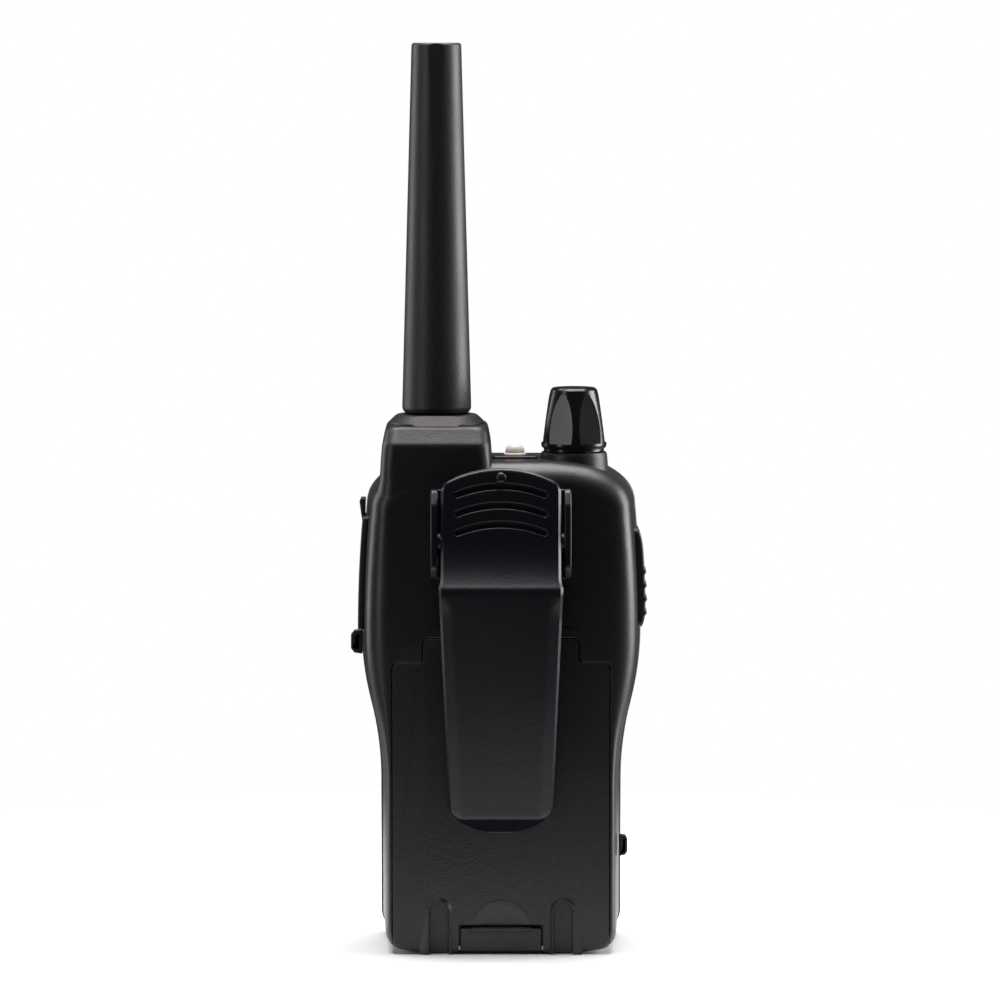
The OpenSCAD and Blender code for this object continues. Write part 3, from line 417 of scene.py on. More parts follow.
def woven(name, dark, light, threads_per_mm):
    """A plain open weave of fine threads."""
    material = new_material(name, dark, 0.85)
    tree = material.node_tree
    shader = tree.nodes["Principled BSDF"]
    coordinates = tree.nodes.new("ShaderNodeTexCoord")
    heights = []
    for direction in ("X", "Z"):
        wave = tree.nodes.new("ShaderNodeTexWave")
        wave.bands_direction = direction
        wave.inputs["Scale"].default_value = threads_per_mm * 1000 / 3.2
        wave.inputs["Distortion"].default_value = 0.6
        link(tree, coordinates.outputs["Object"], wave.inputs["Vector"])
        heights.append(wave.outputs["Fac"])
    both = tree.nodes.new("ShaderNodeMath")
    both.operation = "MULTIPLY"
    link(tree, heights[0], both.inputs[0])
    link(tree, heights[1], both.inputs[1])
    link(tree, colour_between(tree, both.outputs[0], dark, light), shader.inputs["Base Color"])
    add_bumps(tree, [(both.outputs[0], 0.6, 0.0001)])
    return material


case_black = moulded_plastic("case_black", (0.0062, 0.0066, 0.0092), 0.38, 2300, 0.00006)
clip_black = moulded_plastic("clip_black", (0.0042, 0.0045, 0.0078), 0.33, 2300, 0.00004, 0.5, 0.42)
antenna_black = moulded_plastic("antenna_black", (0.0115, 0.0105, 0.0135), 0.42, 2400, 0.00006, 0.3)
knob_black = moulded_plastic("knob_black", (0.0045, 0.0045, 0.006), 0.22, 5000, 0.000004, 0.4)
rubber_black = moulded_plastic("rubber_black", (0.009, 0.009, 0.010), 0.52, 2600, 0.00002, 0.6, 0.4)
jack_black = moulded_plastic("jack_black", (0.012, 0.012, 0.013), 0.35, 4000, 0.000008)
lens_white = mottled(
    "lens_white", (0.80, 0.79, 0.75), (0.86, 0.85, 0.82), 0.28, 900, 0.000004,
    Subsurface_Weight=0.4, Subsurface_Scale=0.002,
)
window_clear = new_material("window_clear", (0.04, 0.05, 0.045), 0.05, Alpha=0.16)
display_green = mottled("display_green", (0.42, 0.48, 0.35), (0.45, 0.51, 0.375), 0.5, 160, 0.000001)
steel = metal("steel", (0.56, 0.56, 0.57), 0.3)
brass = metal("brass", (0.70, 0.52, 0.24), 0.3)
board_green = mottled("board_green", (0.01, 0.07, 0.03), (0.015, 0.10, 0.045), 0.35, 700)
cell_sleeve = mottled("cell_sleeve", (0.035, 0.06, 0.12), (0.045, 0.075, 0.15), 0.3, 300)
foam_grey = mottled("foam_grey", (0.035, 0.035, 0.037), (0.06, 0.06, 0.062), 0.9, 1500, 0.0001)
cone_black = mottled("cone_black", (0.012, 0.012, 0.013), (0.02, 0.02, 0.022), 0.7, 900, 0.00005)
core_white = mottled("core_white", (0.55, 0.55, 0.53), (0.6, 0.6, 0.58), 0.5, 400)
keypad_grey = mottled("keypad_grey", (0.05, 0.05, 0.052), (0.06, 0.06, 0.062), 0.6, 600)
screen_cloth = woven("screen_cloth", (0.004, 0.004, 0.004), (0.05, 0.05, 0.055), 3)

CAD_MATERIALS = {
    "steel": steel, "brass": brass, "board": board_green, "cell_label": cell_sleeve, "foam": foam_grey,
    "cone": cone_black, "core": core_white, "keypad_rubber": keypad_grey, "cloth": screen_cloth,
    "display": display_green, "window": window_clear, "lens": lens_white, "jack_plastic": jack_black,
    "case_plastic": case_black, "clip_plastic": clip_black, "antenna_rubber": antenna_black,
    "knob_plastic": knob_black, "soft_rubber": rubber_black,
}
for part in frame["record"]["subparts"]:
    node = frame["nodes"][part["node"]]
    node.data.materials.clear()
    node.data.materials.append(CAD_MATERIALS[part["material_slot"]])

# ---------------------------------------------------------------- case outline, as in the CAD
WAIST = 25.1
GRIP_TOP, CHEST, SHOULDER = 34.0, 66.0, 92.0
CORNER_R, FOOT_HALF, FOOT_RISE = 5.5, 14.0, 0.8
TOP, LAND = 101.8, 10.0
FLAT_HALF = 22.7
EDGE, BOTTOM_EDGE = 5.0, 1.6
SHOULDER_DRAW = 1.2
SHOULDER_HALF = BODY_HALF - SHOULDER_DRAW
ROUNDING_STEPS = 12


def half_width(z):
    """Half the width of the case at a height, from above its base corners to the end of the shoulder."""
    middle = (GRIP_TOP + CHEST) / 2
    rise = BODY_HALF - WAIST
    if z < GRIP_TOP:
        return WAIST
    if z < middle:
        return WAIST + 2 * rise * ((z - GRIP_TOP) / (CHEST - GRIP_TOP)) ** 2
    if z < CHEST:
        return BODY_HALF - 2 * rise * ((CHEST - z) / (CHEST - GRIP_TOP)) ** 2
    if z <= SHOULDER:
        return BODY_HALF - SHOULDER_DRAW * ((z - CHEST) / (SHOULDER - CHEST)) ** 2
    t = (z - SHOULDER) / (TOP - SHOULDER)
    return LAND + (SHOULDER_HALF - LAND) * math.sqrt(max(0, 1 - t * t))


def outline_half():
    """Half of the case outline on the +X side, from the middle of the base up to the middle of the top.

    A row is (point, matching point of the flat face, depth of the rounding between them, side share).
    """
    rows = []
    for x in (0, 4, 8, 12, FOOT_HALF, 16, 18):
        z = max(0, (x - FOOT_HALF) / (WAIST - CORNER_R - FOOT_HALF)) * FOOT_RISE
        rows.append(((x, z), (x, BOTTOM_EDGE), BOTTOM_EDGE, 0))
    cx, cz = WAIST - CORNER_R, FOOT_RISE + CORNER_R
    for k in range(ROUNDING_STEPS + 1):
        t = math.radians(90 * k / ROUNDING_STEPS)
        share = (1 - math.cos(2 * t)) / 2
        rows.append((
            (cx + CORNER_R * math.sin(t), cz - CORNER_R * math.cos(t)),
            (cx + (FLAT_HALF - cx) * math.sin(t), cz - (cz - BOTTOM_EDGE) * math.cos(t)),
            BOTTOM_EDGE + (EDGE - BOTTOM_EDGE) * share,
            math.sin(t) ** 2,
        ))
    z = cz + 2
    while z < SHOULDER - 1:
        rows.append(((half_width(z), z), (FLAT_HALF, z), EDGE, 1))
        z += 2
    for k in range(25):
        t = math.radians(90 * k / 24)
        rows.append((
            (LAND + (SHOULDER_HALF - LAND) * math.cos(t), SHOULDER + (TOP - SHOULDER) * math.sin(t)),
            (LAND + (FLAT_HALF - LAND) * math.cos(t), TOP - 2 * EDGE + EDGE * math.sin(t)),
            EDGE,
            math.cos(t) ** 2,
        ))
    for x in (7.5, 5, 2.5, 0):
        rows.append(((x, TOP), (x, TOP - EDGE), EDGE, 0))
    return rows


HALF = outline_half()
OUTLINE = HALF + [((-p[0], p[1]), (-q[0], q[1]), h, s) for p, q, h, s in reversed(HALF[1:-1])]


def shell_ring(face_y, turn, draft=0.0):
    """One closed ring: turn 90 is the edge of the flat face, 0 the full outline."""
    sign = 1 if face_y > 0 else -1
    c, s = math.cos(math.radians(turn)), math.sin(math.radians(turn))
    ring = []
    for (px, pz), (qx, qz), depth, share in OUTLINE:
        y = face_y - sign * depth * (1 - s)
        wx = px - math.copysign(min(draft * share, abs(px)), px) * share
        ring.append((qx + (wx - qx) * c, y, qz + (pz - qz) * c))
    return ring


def flat_ring(y, draft, pull=0.0):
    """One closed ring of the full outline: its sides lean in by the draft, and all of it is pulled in."""
    ring = []
    for (px, pz), (qx, qz), _, share in OUTLINE:
        to_flat = Vector((qx - px, qz - pz))
        step = to_flat.normalized() * pull if to_flat.length > 0.01 else Vector((0, 0))
        ring.append((px - math.copysign(draft * share, px) + step.x, y, pz + step.y))
    return ring


PARTING_GAP = 0.06
REAR_DRAFT = 0.75
REAR_STEP = 0.36


def rear_shell_rings(drafted=True):
    """Rings of the rear shell, from the parting plane to the flat back."""
    deep = BACK - EDGE - PART

    def lean(y):
        return REAR_STEP + REAR_DRAFT * (y - PART) / deep if drafted else 0

    rim = [(0, 0.18), (0.05, 0.05), (0.18, 0)]
    rings = [flat_ring(PART + PARTING_GAP + back, lean(PART), pull) for back, pull in rim]
    for k in range(1, 4):
        y = PART + deep * k / 4
        rings.append(flat_ring(y, lean(y)))
    for k in range(ROUNDING_STEPS + 1):
        rings.append(shell_ring(BACK, 90 * k / ROUNDING_STEPS, lean(BACK - EDGE)))
    return rings


def front_shell_rings():
    """Rings of the front shell, from its rounded rim at the parting plane to the flat front."""
    rim = [(PARTING_GAP, 0.5), (0.11, 0.27), (0.22, 0.13), (0.4, 0.04), (0.62, 0)]
    rings = [flat_ring(PART - forward, 0, pull) for forward, pull in rim]
    for k in range(ROUNDING_STEPS + 1):
        rings.append(shell_ring(FRONT, 90 * k / ROUNDING_STEPS))
    return rings


# ---------------------------------------------------------------- rear shell
ANTENNA = (13.3, 2.5)
KNOB = (-15.1, 2.5)
LAMP = (-2.9, 2.5)
SEAT_TOP = 103.2
PAD_TOP = 102.3
DOOR_IN = 14.0


def pedestal():
    """The raised block under the antenna, which runs down into the shoulder and has a chamfered top."""
    # Height, outer and inner side in X, how far the front and back lie inside the case, corner radius.
    levels = [
        (85.0, 26.40, 4.50, 2.20, 2.20, 5.0),
        (89.0, 27.00, 3.20, 1.00, 0.80, 5.0),
        (92.0, 26.70, 2.30, 0.80, 0.36, 4.8),
        (95.0, 25.80, 1.90, 1.60, 0.20, 4.2),
        (98.0, 25.00, 1.80, 4.00, 0.14, 3.4),
        (100.0, 24.80, 1.80, 5.00, 0.12, 3.0),
        (102.0, 24.70, 1.90, 5.20, 0.14, 3.0),
        (104.6, 24.50, 2.10, 5.50, 0.24, 3.0),
        (105.3, 24.42, 2.18, 5.62, 0.34, 3.0),
        (105.7, 24.35, 2.25, 5.75, 0.55, 3.0),
        (106.1, 24.28, 2.32, 5.95, 0.85, 3.0),
        (107.6, 24.00, 2.60, 6.90, 2.00, 3.0),
        (108.3, 23.80, 2.80, 7.40, 2.50, 3.0),
        (108.7, 23.55, 3.05, 7.75, 2.80, 3.0),
        (108.95, 23.20, 3.40, 8.10, 3.15, 3.0),
        (PEDESTAL_TOP, 22.80, 3.80, 8.50, 3.60, 3.0),
    ]
    rings = []
    for z, outer, inner, front, back, r in levels:
        low, high = FRONT + front, BACK - back
        outline = rounded_rect((outer + inner) / 2, (low + high) / 2, outer - inner, high - low, r, 8)
        rings.append(at_height(outline, z))
    return stack("pedestal", rings)


def knob_seat():
    """The tapered boss that the volume knob stands on."""
    profile = [(7.4, 92), (7.15, 99), (6.95, 102), (6.85, 102.7), (6.7, 103.05), (6.4, SEAT_TOP)]
    return turned("seat", KNOB, profile, 64)


def lamp_pad():
    """The low pad around the indicator."""
    return prism("pad", "z", rounded_rect(*LAMP, 9.4, 5.6, 0.8), 92, PAD_TOP, 0, 0.25)


def door_outline(grow):
    """The stepped outline of the battery door, running on below the base."""
    half, tongue = 22.35 + grow, 16.0 + grow
    step, top = 60.5 + grow, 65.6 + grow
    low = -4.0
    corners = [
        (half, low, 0), (half, step, 1.2), (tongue, step, 0.8), (tongue, top, 1.2),
        (-tongue, top, 1.2), (-tongue, step, 0.8), (-half, step, 1.2), (-half, low, 0),
    ]
    return rounded_outline(corners)


def bisect_at(obj, y, keep_above):
    """Cuts a closed mesh at a plane across Y and closes the cut."""
    bm = bmesh.new()
    bm.from_mesh(obj.data)
    geometry = bm.verts[:] + bm.edges[:] + bm.faces[:]
    result = bmesh.ops.bisect_plane(
        bm, geom=geometry, plane_co=(0, y, 0), plane_no=(0, 1, 0),
        clear_inner=keep_above, clear_outer=not keep_above,
    )
    edges = [e for e in result["geom_cut"] if isinstance(e, bmesh.types.BMEdge)]
    bmesh.ops.contextual_create(bm, geom=edges)
    bmesh.ops.recalc_face_normals(bm, faces=bm.faces)
    bm.to_mesh(obj.data)
    bm.free()
    return obj


rear = stack("rear_shell", rear_shell_rings())
join(rear, bisect_at(pedestal(), PART + PARTING_GAP, True), knob_seat(), lamp_pad())
DOOR_GAP = 0.16
carve(rear, prism("recess", "y", door_outline(DOOR_GAP), DOOR_IN, BACK, 0, -0.2))

# Clip recess: a T-shaped pocket that the bracket slides in, and a shallow panel that fades out to each side.
# Tools that meet are a little unequal, so that no two cutting faces lie in one plane.
TEE_HALF, NECK_HALF, TEE_IN = 11.75, 7.95, 13.35
panel_floor = BACK - 0.4
panel_edge = BACK + 0.01
panel_outline = [
    (-16.8, panel_edge), (-11.5, panel_floor), (11.5, panel_floor), (16.8, panel_edge), (0, BACK + 3),
]
carve(
    rear,
    prism("panel", "z", panel_outline, 67.7, 77.1),
    box("tee_entry", (-TEE_HALF, TEE_IN, 67.6), (TEE_HALF, BACK + 1, 77.3)),
    box("tee_pocket", (-TEE_HALF, TEE_IN, 67.7), (TEE_HALF, 15.05, 87.2)),
    box("tee_neck", (-NECK_HALF, 13.9, 67.8), (NECK_HALF, BACK + 1, 87.1)),
)

# Battery compartment and the grooves that the door's rails run in.
WELL_HALF, WELL_IN = 21.3, 2.9
carve(
    rear,
    box("well", (-WELL_HALF, WELL_IN, 12.2), (WELL_HALF, DOOR_IN + 0.05, 62.0)),
    *box_pair("groove", (21.05, 12.75, -2), (23.35, 13.95, 58.4)),
    *box_pair("groove_neck", (21.1, 12.9, -2.2), (22.6, DOOR_IN + 0.13, 58.35)),
)

# Side openings: the jack recess with its three holes, and the talk button's slot and the pocket behind it.
COVER_LOW, COVER_HIGH = 66.6, 89.9
JACK_HEIGHTS = (84.4, 77.6, 70.8)
SIDE_Y = 2.5
TALK_Z = 77.2


def side_strip(low, high, deep, out, steps=10):
    """An outline in X and Z that follows the side of the case at a depth, and runs out past it."""
    heights = [low + (high - low) * i / steps for i in range(steps + 1)]
    outside = [(half_width(z) + out, z) for z in heights]
    return outside + [(half_width(z) - deep, z) for z in reversed(heights)]


carve(
    rear,
    prism("cover_recess", "y", side_strip(65.6, 90.2, 1.15, 3), -1.7, 6.7),
    *[rod(f"jack_hole_{i}", "x", SIDE_Y, z, 16, 32, 2.9) for i, z in enumerate(JACK_HEIGHTS)],
    prism("talk_slot", "x", rounded_rect(SIDE_Y, TALK_Z, 8.4, 20.9, 1.45), -32, -26.2),
    box("talk_pocket", (-27.2, -2.9, 65.6), (-23.2, 7.9, 88.8)),
)
finish_piece(rear, "case", case_black, ["rear_case"])

# ---------------------------------------------------------------- front shell
front = stack("front_shell", front_shell_rings())
join(front, bisect_at(pedestal(), PART - PARTING_GAP, False))
WINDOW_Z, WINDOW_WIDE, WINDOW_TALL = 77.0, 34.0, 24.0
carve(
    front,
    prism("window_seat", "y", rounded_rect(0, WINDOW_Z, WINDOW_WIDE, WINDOW_TALL, 2), FRONT + 1.1, FRONT - 1),
    prism("window_hole", "y", rounded_rect(0, WINDOW_Z, 30, 20, 1), FRONT, FRONT + 2.4),
)
# Middle in X and Z, width and height of each key.
KEYS = {
    "up_key": (0, 55.4, 10, 4.6), "down_key": (0, 46.6, 10, 4.6),
    "menu_key": (-13.4, 55.4, 9, 4.6), "scan_key": (-13.4, 46.6, 9, 4.6),
    "call_key": (13.4, 55.4, 9, 4.6), "lock_key": (13.4, 46.6, 9, 4.6),
}


def flared_hole(name, outline, depth, flare=0.3):
    """A hole through the front wall whose mouth is rounded at the front face."""
    tool = prism(name, "y", outline, -depth, 0, 0, -flare)
    tool.data.transform(Matrix.Diagonal((1, -1, 1, 1)))
    tool.data.transform(Matrix.Translation((0, FRONT, 0)))
    tool.data.flip_normals()
    return tool


KEY_GAP = 0.3
GRILLE_Z, GRILLE_R, GRILLE_STEP, SLOT_TALL = 24.0, 13.0, 3.2, 1.6
OPENING_DEEP = 2.4


def key_hole(node):
    x, z, width, height = KEYS[node]
    return flared_hole("hole_" + node, rounded_rect(x, z, width + KEY_GAP, height + KEY_GAP, 1.3), 3)


def grille_slot(row):
    """One slot of the round grille, its rows counted from the middle."""
    rise = row * GRILLE_STEP
    half = math.sqrt(GRILLE_R ** 2 - rise ** 2)
    outline = rounded_rect(0, GRILLE_Z + rise, 2 * half, SLOT_TALL, SLOT_TALL / 2 - 0.01)
    return flared_hole(f"slot_{row}", outline, OPENING_DEEP)


carve(
    front,
    *[key_hole(node) for node in KEYS],
    *[grille_slot(row) for row in range(-4, 5)],
    flared_hole("mic_hole", circle(17, 39, 0.8, 20), OPENING_DEEP, 0.25),
)
finish_piece(front, "case", case_black, ["front_case"])

window_outline = rounded_rect(0, WINDOW_Z, WINDOW_WIDE - 0.2, WINDOW_TALL - 0.2, 1.9)
window = prism("window", "y", window_outline, FRONT + 0.05, FRONT + 1.05, 0.2, 0.02)
finish_piece(window, "case", window_clear, ["display_window"])


def key_arrow(x, z, way):
    """A small raised triangle that points up (way 1) or down (way -1)."""
    corners = [(0, 0.95), (-1.3, -0.75), (1.3, -0.75)]
    outline = rounded_outline([(x + way * right, z + way * up, 0.2) for right, up in corners])
    return prism("arrow", "y", outline, FRONT - 0.8, FRONT, 0.12, 0)


for node, (x, z, width, height) in KEYS.items():
    outline = rounded_rect(x, z, width, height, 1.2)
    key = prism(node + "_cap", "y", outline, FRONT - 0.6, FRONT + 3.6, 0.45, 0)
    if node in ("up_key", "down_key"):
        join(key, key_arrow(x, z, 1 if node == "up_key" else -1))
    finish_piece(key, node, rubber_black, [node])

# ---------------------------------------------------------------- antenna
SLEEVE_LOW, SLEEVE_LEN = 111.0, 76.5
SLEEVE_TOP = SLEEVE_LOW + SLEEVE_LEN
collar = turned("collar", ANTENNA, [
    (9.9, 108.96), (10.0, 109.1), (9.95, 109.35), (9.3, 110.0), (8.6, 110.65), (8.2, 110.9), (7.8, 110.98),
    (6.8, SLEEVE_LOW),
], 96)
collar_flat = box("collar_flat", (-6.65, 0, -3), (6.65, 6, 6))
rotate(collar_flat, 42, "X")
move(collar_flat, ANTENNA[0], ANTENNA[1] + 9.0, PEDESTAL_TOP)
carve(collar, collar_flat)
finish_piece(collar, "case", antenna_black, ["antenna_collar"])

FOOT_R, TIP_R = 7.15, 5.15
FOOT_ROUND, TIP_ROUND = 1.5, 0.6


def sleeve_profile():
    """A rounded foot, a straight taper and a rounded tip."""
    points = arc(FOOT_R - FOOT_ROUND, SLEEVE_LOW + FOOT_ROUND, FOOT_ROUND, range(-90, 1, 10))
    taper = SLEEVE_LEN - FOOT_ROUND - TIP_ROUND
    for k in range(1, 12):
        points.append((FOOT_R + (TIP_R - FOOT_R) * k / 12, SLEEVE_LOW + FOOT_ROUND + taper * k / 12))
    return points + arc(TIP_R - TIP_ROUND, SLEEVE_TOP - TIP_ROUND, TIP_ROUND, range(0, 91, 15))


# The slanted flat near the tip: it is deepest at the tip and runs out further down.
FACET_DEEP, FACET_LONG = 0.27, 24.5
sleeve = turned("sleeve", ANTENNA, sleeve_profile(), 128)
facet = box("facet", (-12, 0, -36), (12, 12, 12))
facet_lean = math.atan((FOOT_R - TIP_R) / SLEEVE_LEN) + math.atan(FACET_DEEP / FACET_LONG)
rotate(facet, math.degrees(facet_lean), "X")
move(facet, ANTENNA[0], ANTENNA[1] + TIP_R - FACET_DEEP, SLEEVE_TOP)
carve(sleeve, facet)
finish_piece(sleeve, "case", antenna_black, ["antenna_sleeve"], 12)

# ---------------------------------------------------------------- volume knob
KNOB_LOW, KNOB_TALL = 103.9, 12.6
KNOB_R, KNOB_TIP_R = 6.8, 4.65
KNOB_CURVE = 1.65
FLAT_LEAN, FLAT_FOOT = 7.1, 1.1


def knob_profile():
    """A rounded skirt, sides that curve in towards the top, and a slightly domed cap."""
    points = [(6.0, -0.52), (6.25, -0.5), (6.25, -0.05), (6.5, 0.08), (6.68, 0.3), (6.77, 0.65)]
    start, end = 0.08, 0.955
    for k in range(17):
        share = start + (end - start) * k / 16
        points.append((KNOB_R - (KNOB_R - KNOB_TIP_R) * share ** KNOB_CURVE, KNOB_TALL * share))
    points += [(4.62, KNOB_TALL - 0.34), (4.42, KNOB_TALL - 0.14), (4.1, KNOB_TALL - 0.05), (3.0, KNOB_TALL)]
    return [(r, KNOB_LOW + z) for r, z in points]


def knob_flat(turn):
    """A tool whose inner face leans in with the knob, so that it cuts a flat that ends in a point."""
    tool = box("flat", (-6, 0, 0), (6, 6, 16))
    rotate(tool, FLAT_LEAN, "X")
    move(tool, 0, KNOB_R - 0.5, FLAT_FOOT)
    rotate(tool, turn, "Z")
    move(tool, *KNOB, KNOB_LOW)
    return tool


knob = turned("knob", KNOB, knob_profile(), 144)
carve(knob, *[knob_flat(3 + 60 * k - 90) for k in range(6)])
finish_piece(knob, "knob", knob_black, ["volume_knob"], 11)

# ---------------------------------------------------------------- indicator
lens_profile = [(2.0, 98.5), (2.0, 101.9), (2.3, 102.32), (2.3, 102.7), (2.2, 102.82), (2.0, 102.86)]
lens_profile += arc(0, 103.0, 2.0, range(0, 86, 6))
lens = turned("lens", LAMP, lens_profile, 48)
finish_piece(lens, "case", lens_white, ["indicator_lens"], 50)

# ---------------------------------------------------------------- talk button
TALK_LOW, TALK_HIGH = 66.9, 87.5
TALK_HALF, TALK_IN, TALK_BULGE = 4.05, 26.6, 0.85
RIBS, RIB_TALL, RIB_HALF = (69.9, 72.75, 75.6, 78.45), 0.36, 0.62


def talk_reach(z):
    """How far the button's outer face stands from the middle of the case at a height."""
    along = (z - TALK_LOW) / (TALK_HIGH - TALK_LOW)
    bulge = TALK_BULGE * (1 - (2 * along - 1) ** 6)
    ribs = max(RIB_TALL * max(0, 1 - ((z - rib) / RIB_HALF) ** 2) for rib in RIBS)
    return half_width(z) + bulge - 0.05 + ribs


def talk_rings(count=120):
    """Level sections of the button, from its rounded lower end to its rounded upper end."""
    rings = []
    for k in range(count + 1):
        z = TALK_LOW + (TALK_HIGH - TALK_LOW) * k / count
        half = TALK_HALF - quarter(1.3, min(z - TALK_LOW, TALK_HIGH - z))
        out = talk_reach(z)
        deep = out - TALK_IN
        outline = rounded_rect(-(out + TALK_IN) / 2, SIDE_Y, deep, 2 * half, min(0.55, deep / 2.2), 5)
        rings.append(at_height(outline, z))
    return rings


talk = stack("talk_button", talk_rings())
join(
    talk,
    box("talk_flange", (-27.1, -2.5, 66.1), (-26.1, 7.5, 88.3), 0.1),
    rod("talk_stem", "x", SIDE_Y, TALK_Z, -26.2, -25.4, 1.2),
)
finish_piece(talk, "talk_button", rubber_black, ["ptt_button"], 40)

# ---------------------------------------------------------------- jack cover
COVER_FOOT = COVER_LOW - 0.5
COVER_WIDE, COVER_OUT, COVER_IN = 8.0, 0.45, 1.0


def cover_rings(count=60):
    """Level sections of the cover, which follows the side of the case."""
    rings = []
    for k in range(count + 1):
        z = COVER_FOOT + (COVER_HIGH - COVER_FOOT) * k / count
        narrow = quarter(0.8, min(z - COVER_FOOT, COVER_HIGH - z))
        middle = half_width(z) + (COVER_OUT - COVER_IN) / 2
        outline = rounded_rect(middle, SIDE_Y, COVER_OUT + COVER_IN, COVER_WIDE - 2 * narrow, 0.45, 4)
        rings.append(at_height(outline, z))
    return rings


cover = stack("cover", cover_rings())
tab_profile = rounded_outline([
    (27.7, 89.6, 0), (28.64, 88.2, 0), (28.95, 90.2, 0.4), (29.3, 92.9, 0.4), (29.0, 93.6, 0.25),
    (28.0, 93.6, 0.2), (28.12, 90.3, 0),
])
TAB_HALF = 2.1
join(cover, prism("tab", "y", tab_profile, SIDE_Y - TAB_HALF, SIDE_Y + TAB_HALF, 0.3, 0.3))
finish_piece(cover, "cover", rubber_black, ["jack_cover"], 40)


# ---------------------------------------------------------------- loops
LOOP_Y = 9.6


def loop(name, side, middle, reach, height, bar, depth=1.8):
    """A round-edged eye that stands out of the side of the case."""
    face = half_width(middle)

    def eye(out, half, root):
        upper = [(root, half), (out * 0.6, half - 0.25), (out, 0.55 * half)]
        lower = [(x, -z) for x, z in reversed(upper)]
        points = [(side * (face + x), middle + z, 0.3) for x, z in upper + lower]
        return rounded_outline(points if side < 0 else points[::-1], 4)

    low, high = LOOP_Y - depth / 2, LOOP_Y + depth / 2
    body = prism(name, "y", eye(reach, height / 2, -0.6), low, high, 0.3, 0.3)
    return carve(body, prism("hole", "y", eye(reach - bar, height / 2 - bar, 0.12), 0, 20))


lanyard = loop("lanyard", 1, 64.4, 1.8, 5.2, 0.85)
finish_piece(lanyard, "case", case_black, ["lanyard_loop"], 40)
eyelet = loop("eyelet", -1, 22.0, 1.1, 4.6, 0.5)
finish_piece(eyelet, "case", case_black, ["side_eyelet"], 40)

# ---------------------------------------------------------------- belt clip
PIN_Y, PIN_Z = BACK + 3.5, 86.0
PAD_Y = BACK + 6.0
CLIP_TOP, CREST, FLARE_Z, FLARE = 101.1, 76.7, 88.0, 4.4
TIP_Z, TIP_Y = 28.4, BACK + 3.4
PAD_HALF, PLATE_HALF, TIP_HALF = 12.25, 12.7, 10.6
CLIP_THICK, CLIP_EDGE, CLIP_ROUND = 2.0, 0.55, 0.7
CREST_ROUND = 0.25
TIP_CORNER, TOP_CORNER = 2.4, 1.5
BEVEL, BEVEL_DROP, BEVEL_RUN = 2.2, 1.1, 5.5
ARCH_R = 24.0


def clip_face(z):
    """Depth of the clip's outer face: a nearly flat pad, a flare out to the crest, a straight plate."""
    if z > FLARE_Z:
        return PAD_Y - 0.5 * max(0, (z - 92) / 9) ** 2
    if z >= CREST:
        return PAD_Y + FLARE * ((FLARE_Z - z) / (FLARE_Z - CREST)) ** 2
    return TIP_Y + (PAD_Y + FLARE - TIP_Y) * (z - TIP_Z) / (CREST - 1 - TIP_Z)


def crest_face(z):
    """The same face with the crest rounded over."""
    if abs(z - CREST + 0.5) >= CREST_ROUND + 0.5:
        return clip_face(z)
    low, high = CREST - 1.0 - CREST_ROUND, CREST + CREST_ROUND
    s = (z - low) / (high - low)
    peak = PAD_Y + FLARE + 0.05
    return (1 - s) ** 2 * clip_face(low) + 2 * s * (1 - s) * peak + s * s * clip_face(high)


def arch_drop(x):
    """How far the arched top lies below its middle."""
    return ARCH_R - math.sqrt(ARCH_R ** 2 - x * x)


def smooth(t):
    """A step from 0 to 1 with soft ends."""
    t = max(0, min(1, t))
    return t * t * (3 - 2 * t)


def clip_section(z):
    """One closed section of the clip, outer face first. Its top end bows up into the arch."""
    below = CREST - 0.6 - z
    if below < 0:
        half = PAD_HALF + (PLATE_HALF - PAD_HALF) * smooth(1 - (z - CREST) / 2)
        bevel, drop = 0.0, 0.0
    else:
        half = PLATE_HALF + (TIP_HALF - PLATE_HALF) * (z - CREST) / (TIP_Z - CREST)
        bevel, drop = BEVEL * smooth(below / BEVEL_RUN) ** 0.5, BEVEL_DROP * smooth(below / BEVEL_RUN)
    from_tip, from_top = z - TIP_Z, CLIP_TOP - z
    flat = half - 0.5 - bevel
    half -= quarter(TIP_CORNER, from_tip)
    flat = min(flat, half - 0.5)
    half -= 0.8 * quarter(TOP_CORNER, from_top)
    end_round = quarter(CLIP_ROUND, min(from_tip, from_top))
    bow = smooth((z - 84) / (CLIP_TOP - 84))
    outer, inner = [], []
    for i in range(49):
        x = (i / 24 - 1) * half
        fall = drop * max(0, abs(x) - flat) / max(0.1, half - flat)
        edge = quarter(CLIP_EDGE, half - abs(x))
        height = z - bow * arch_drop(x)
        y = crest_face(height)
        outer.append((x, y - fall - edge - end_round, height))
        inner.append((x, y - CLIP_THICK - drop * 0.25 + edge * 0.6 + end_round * 0.7, height))
    return outer + inner[::-1]


def clip_heights():
    """Heights of the sections, close together at the rounded ends and around the crest."""
    heights = [CLIP_TOP - d for d in (0, 0.06, 0.2, 0.4, 0.7, 1.1, 1.6)]
    z = CLIP_TOP - 2.2
    for end, step in ((78.6, 0.8), (73.0, 0.25), (TIP_Z + 3, 1.4)):
        while z > end:
            heights.append(z)
            z -= step
    return heights + [TIP_Z + d for d in (2.6, 2.0, 1.5, 1.0, 0.6, 0.3, 0.12, 0)]


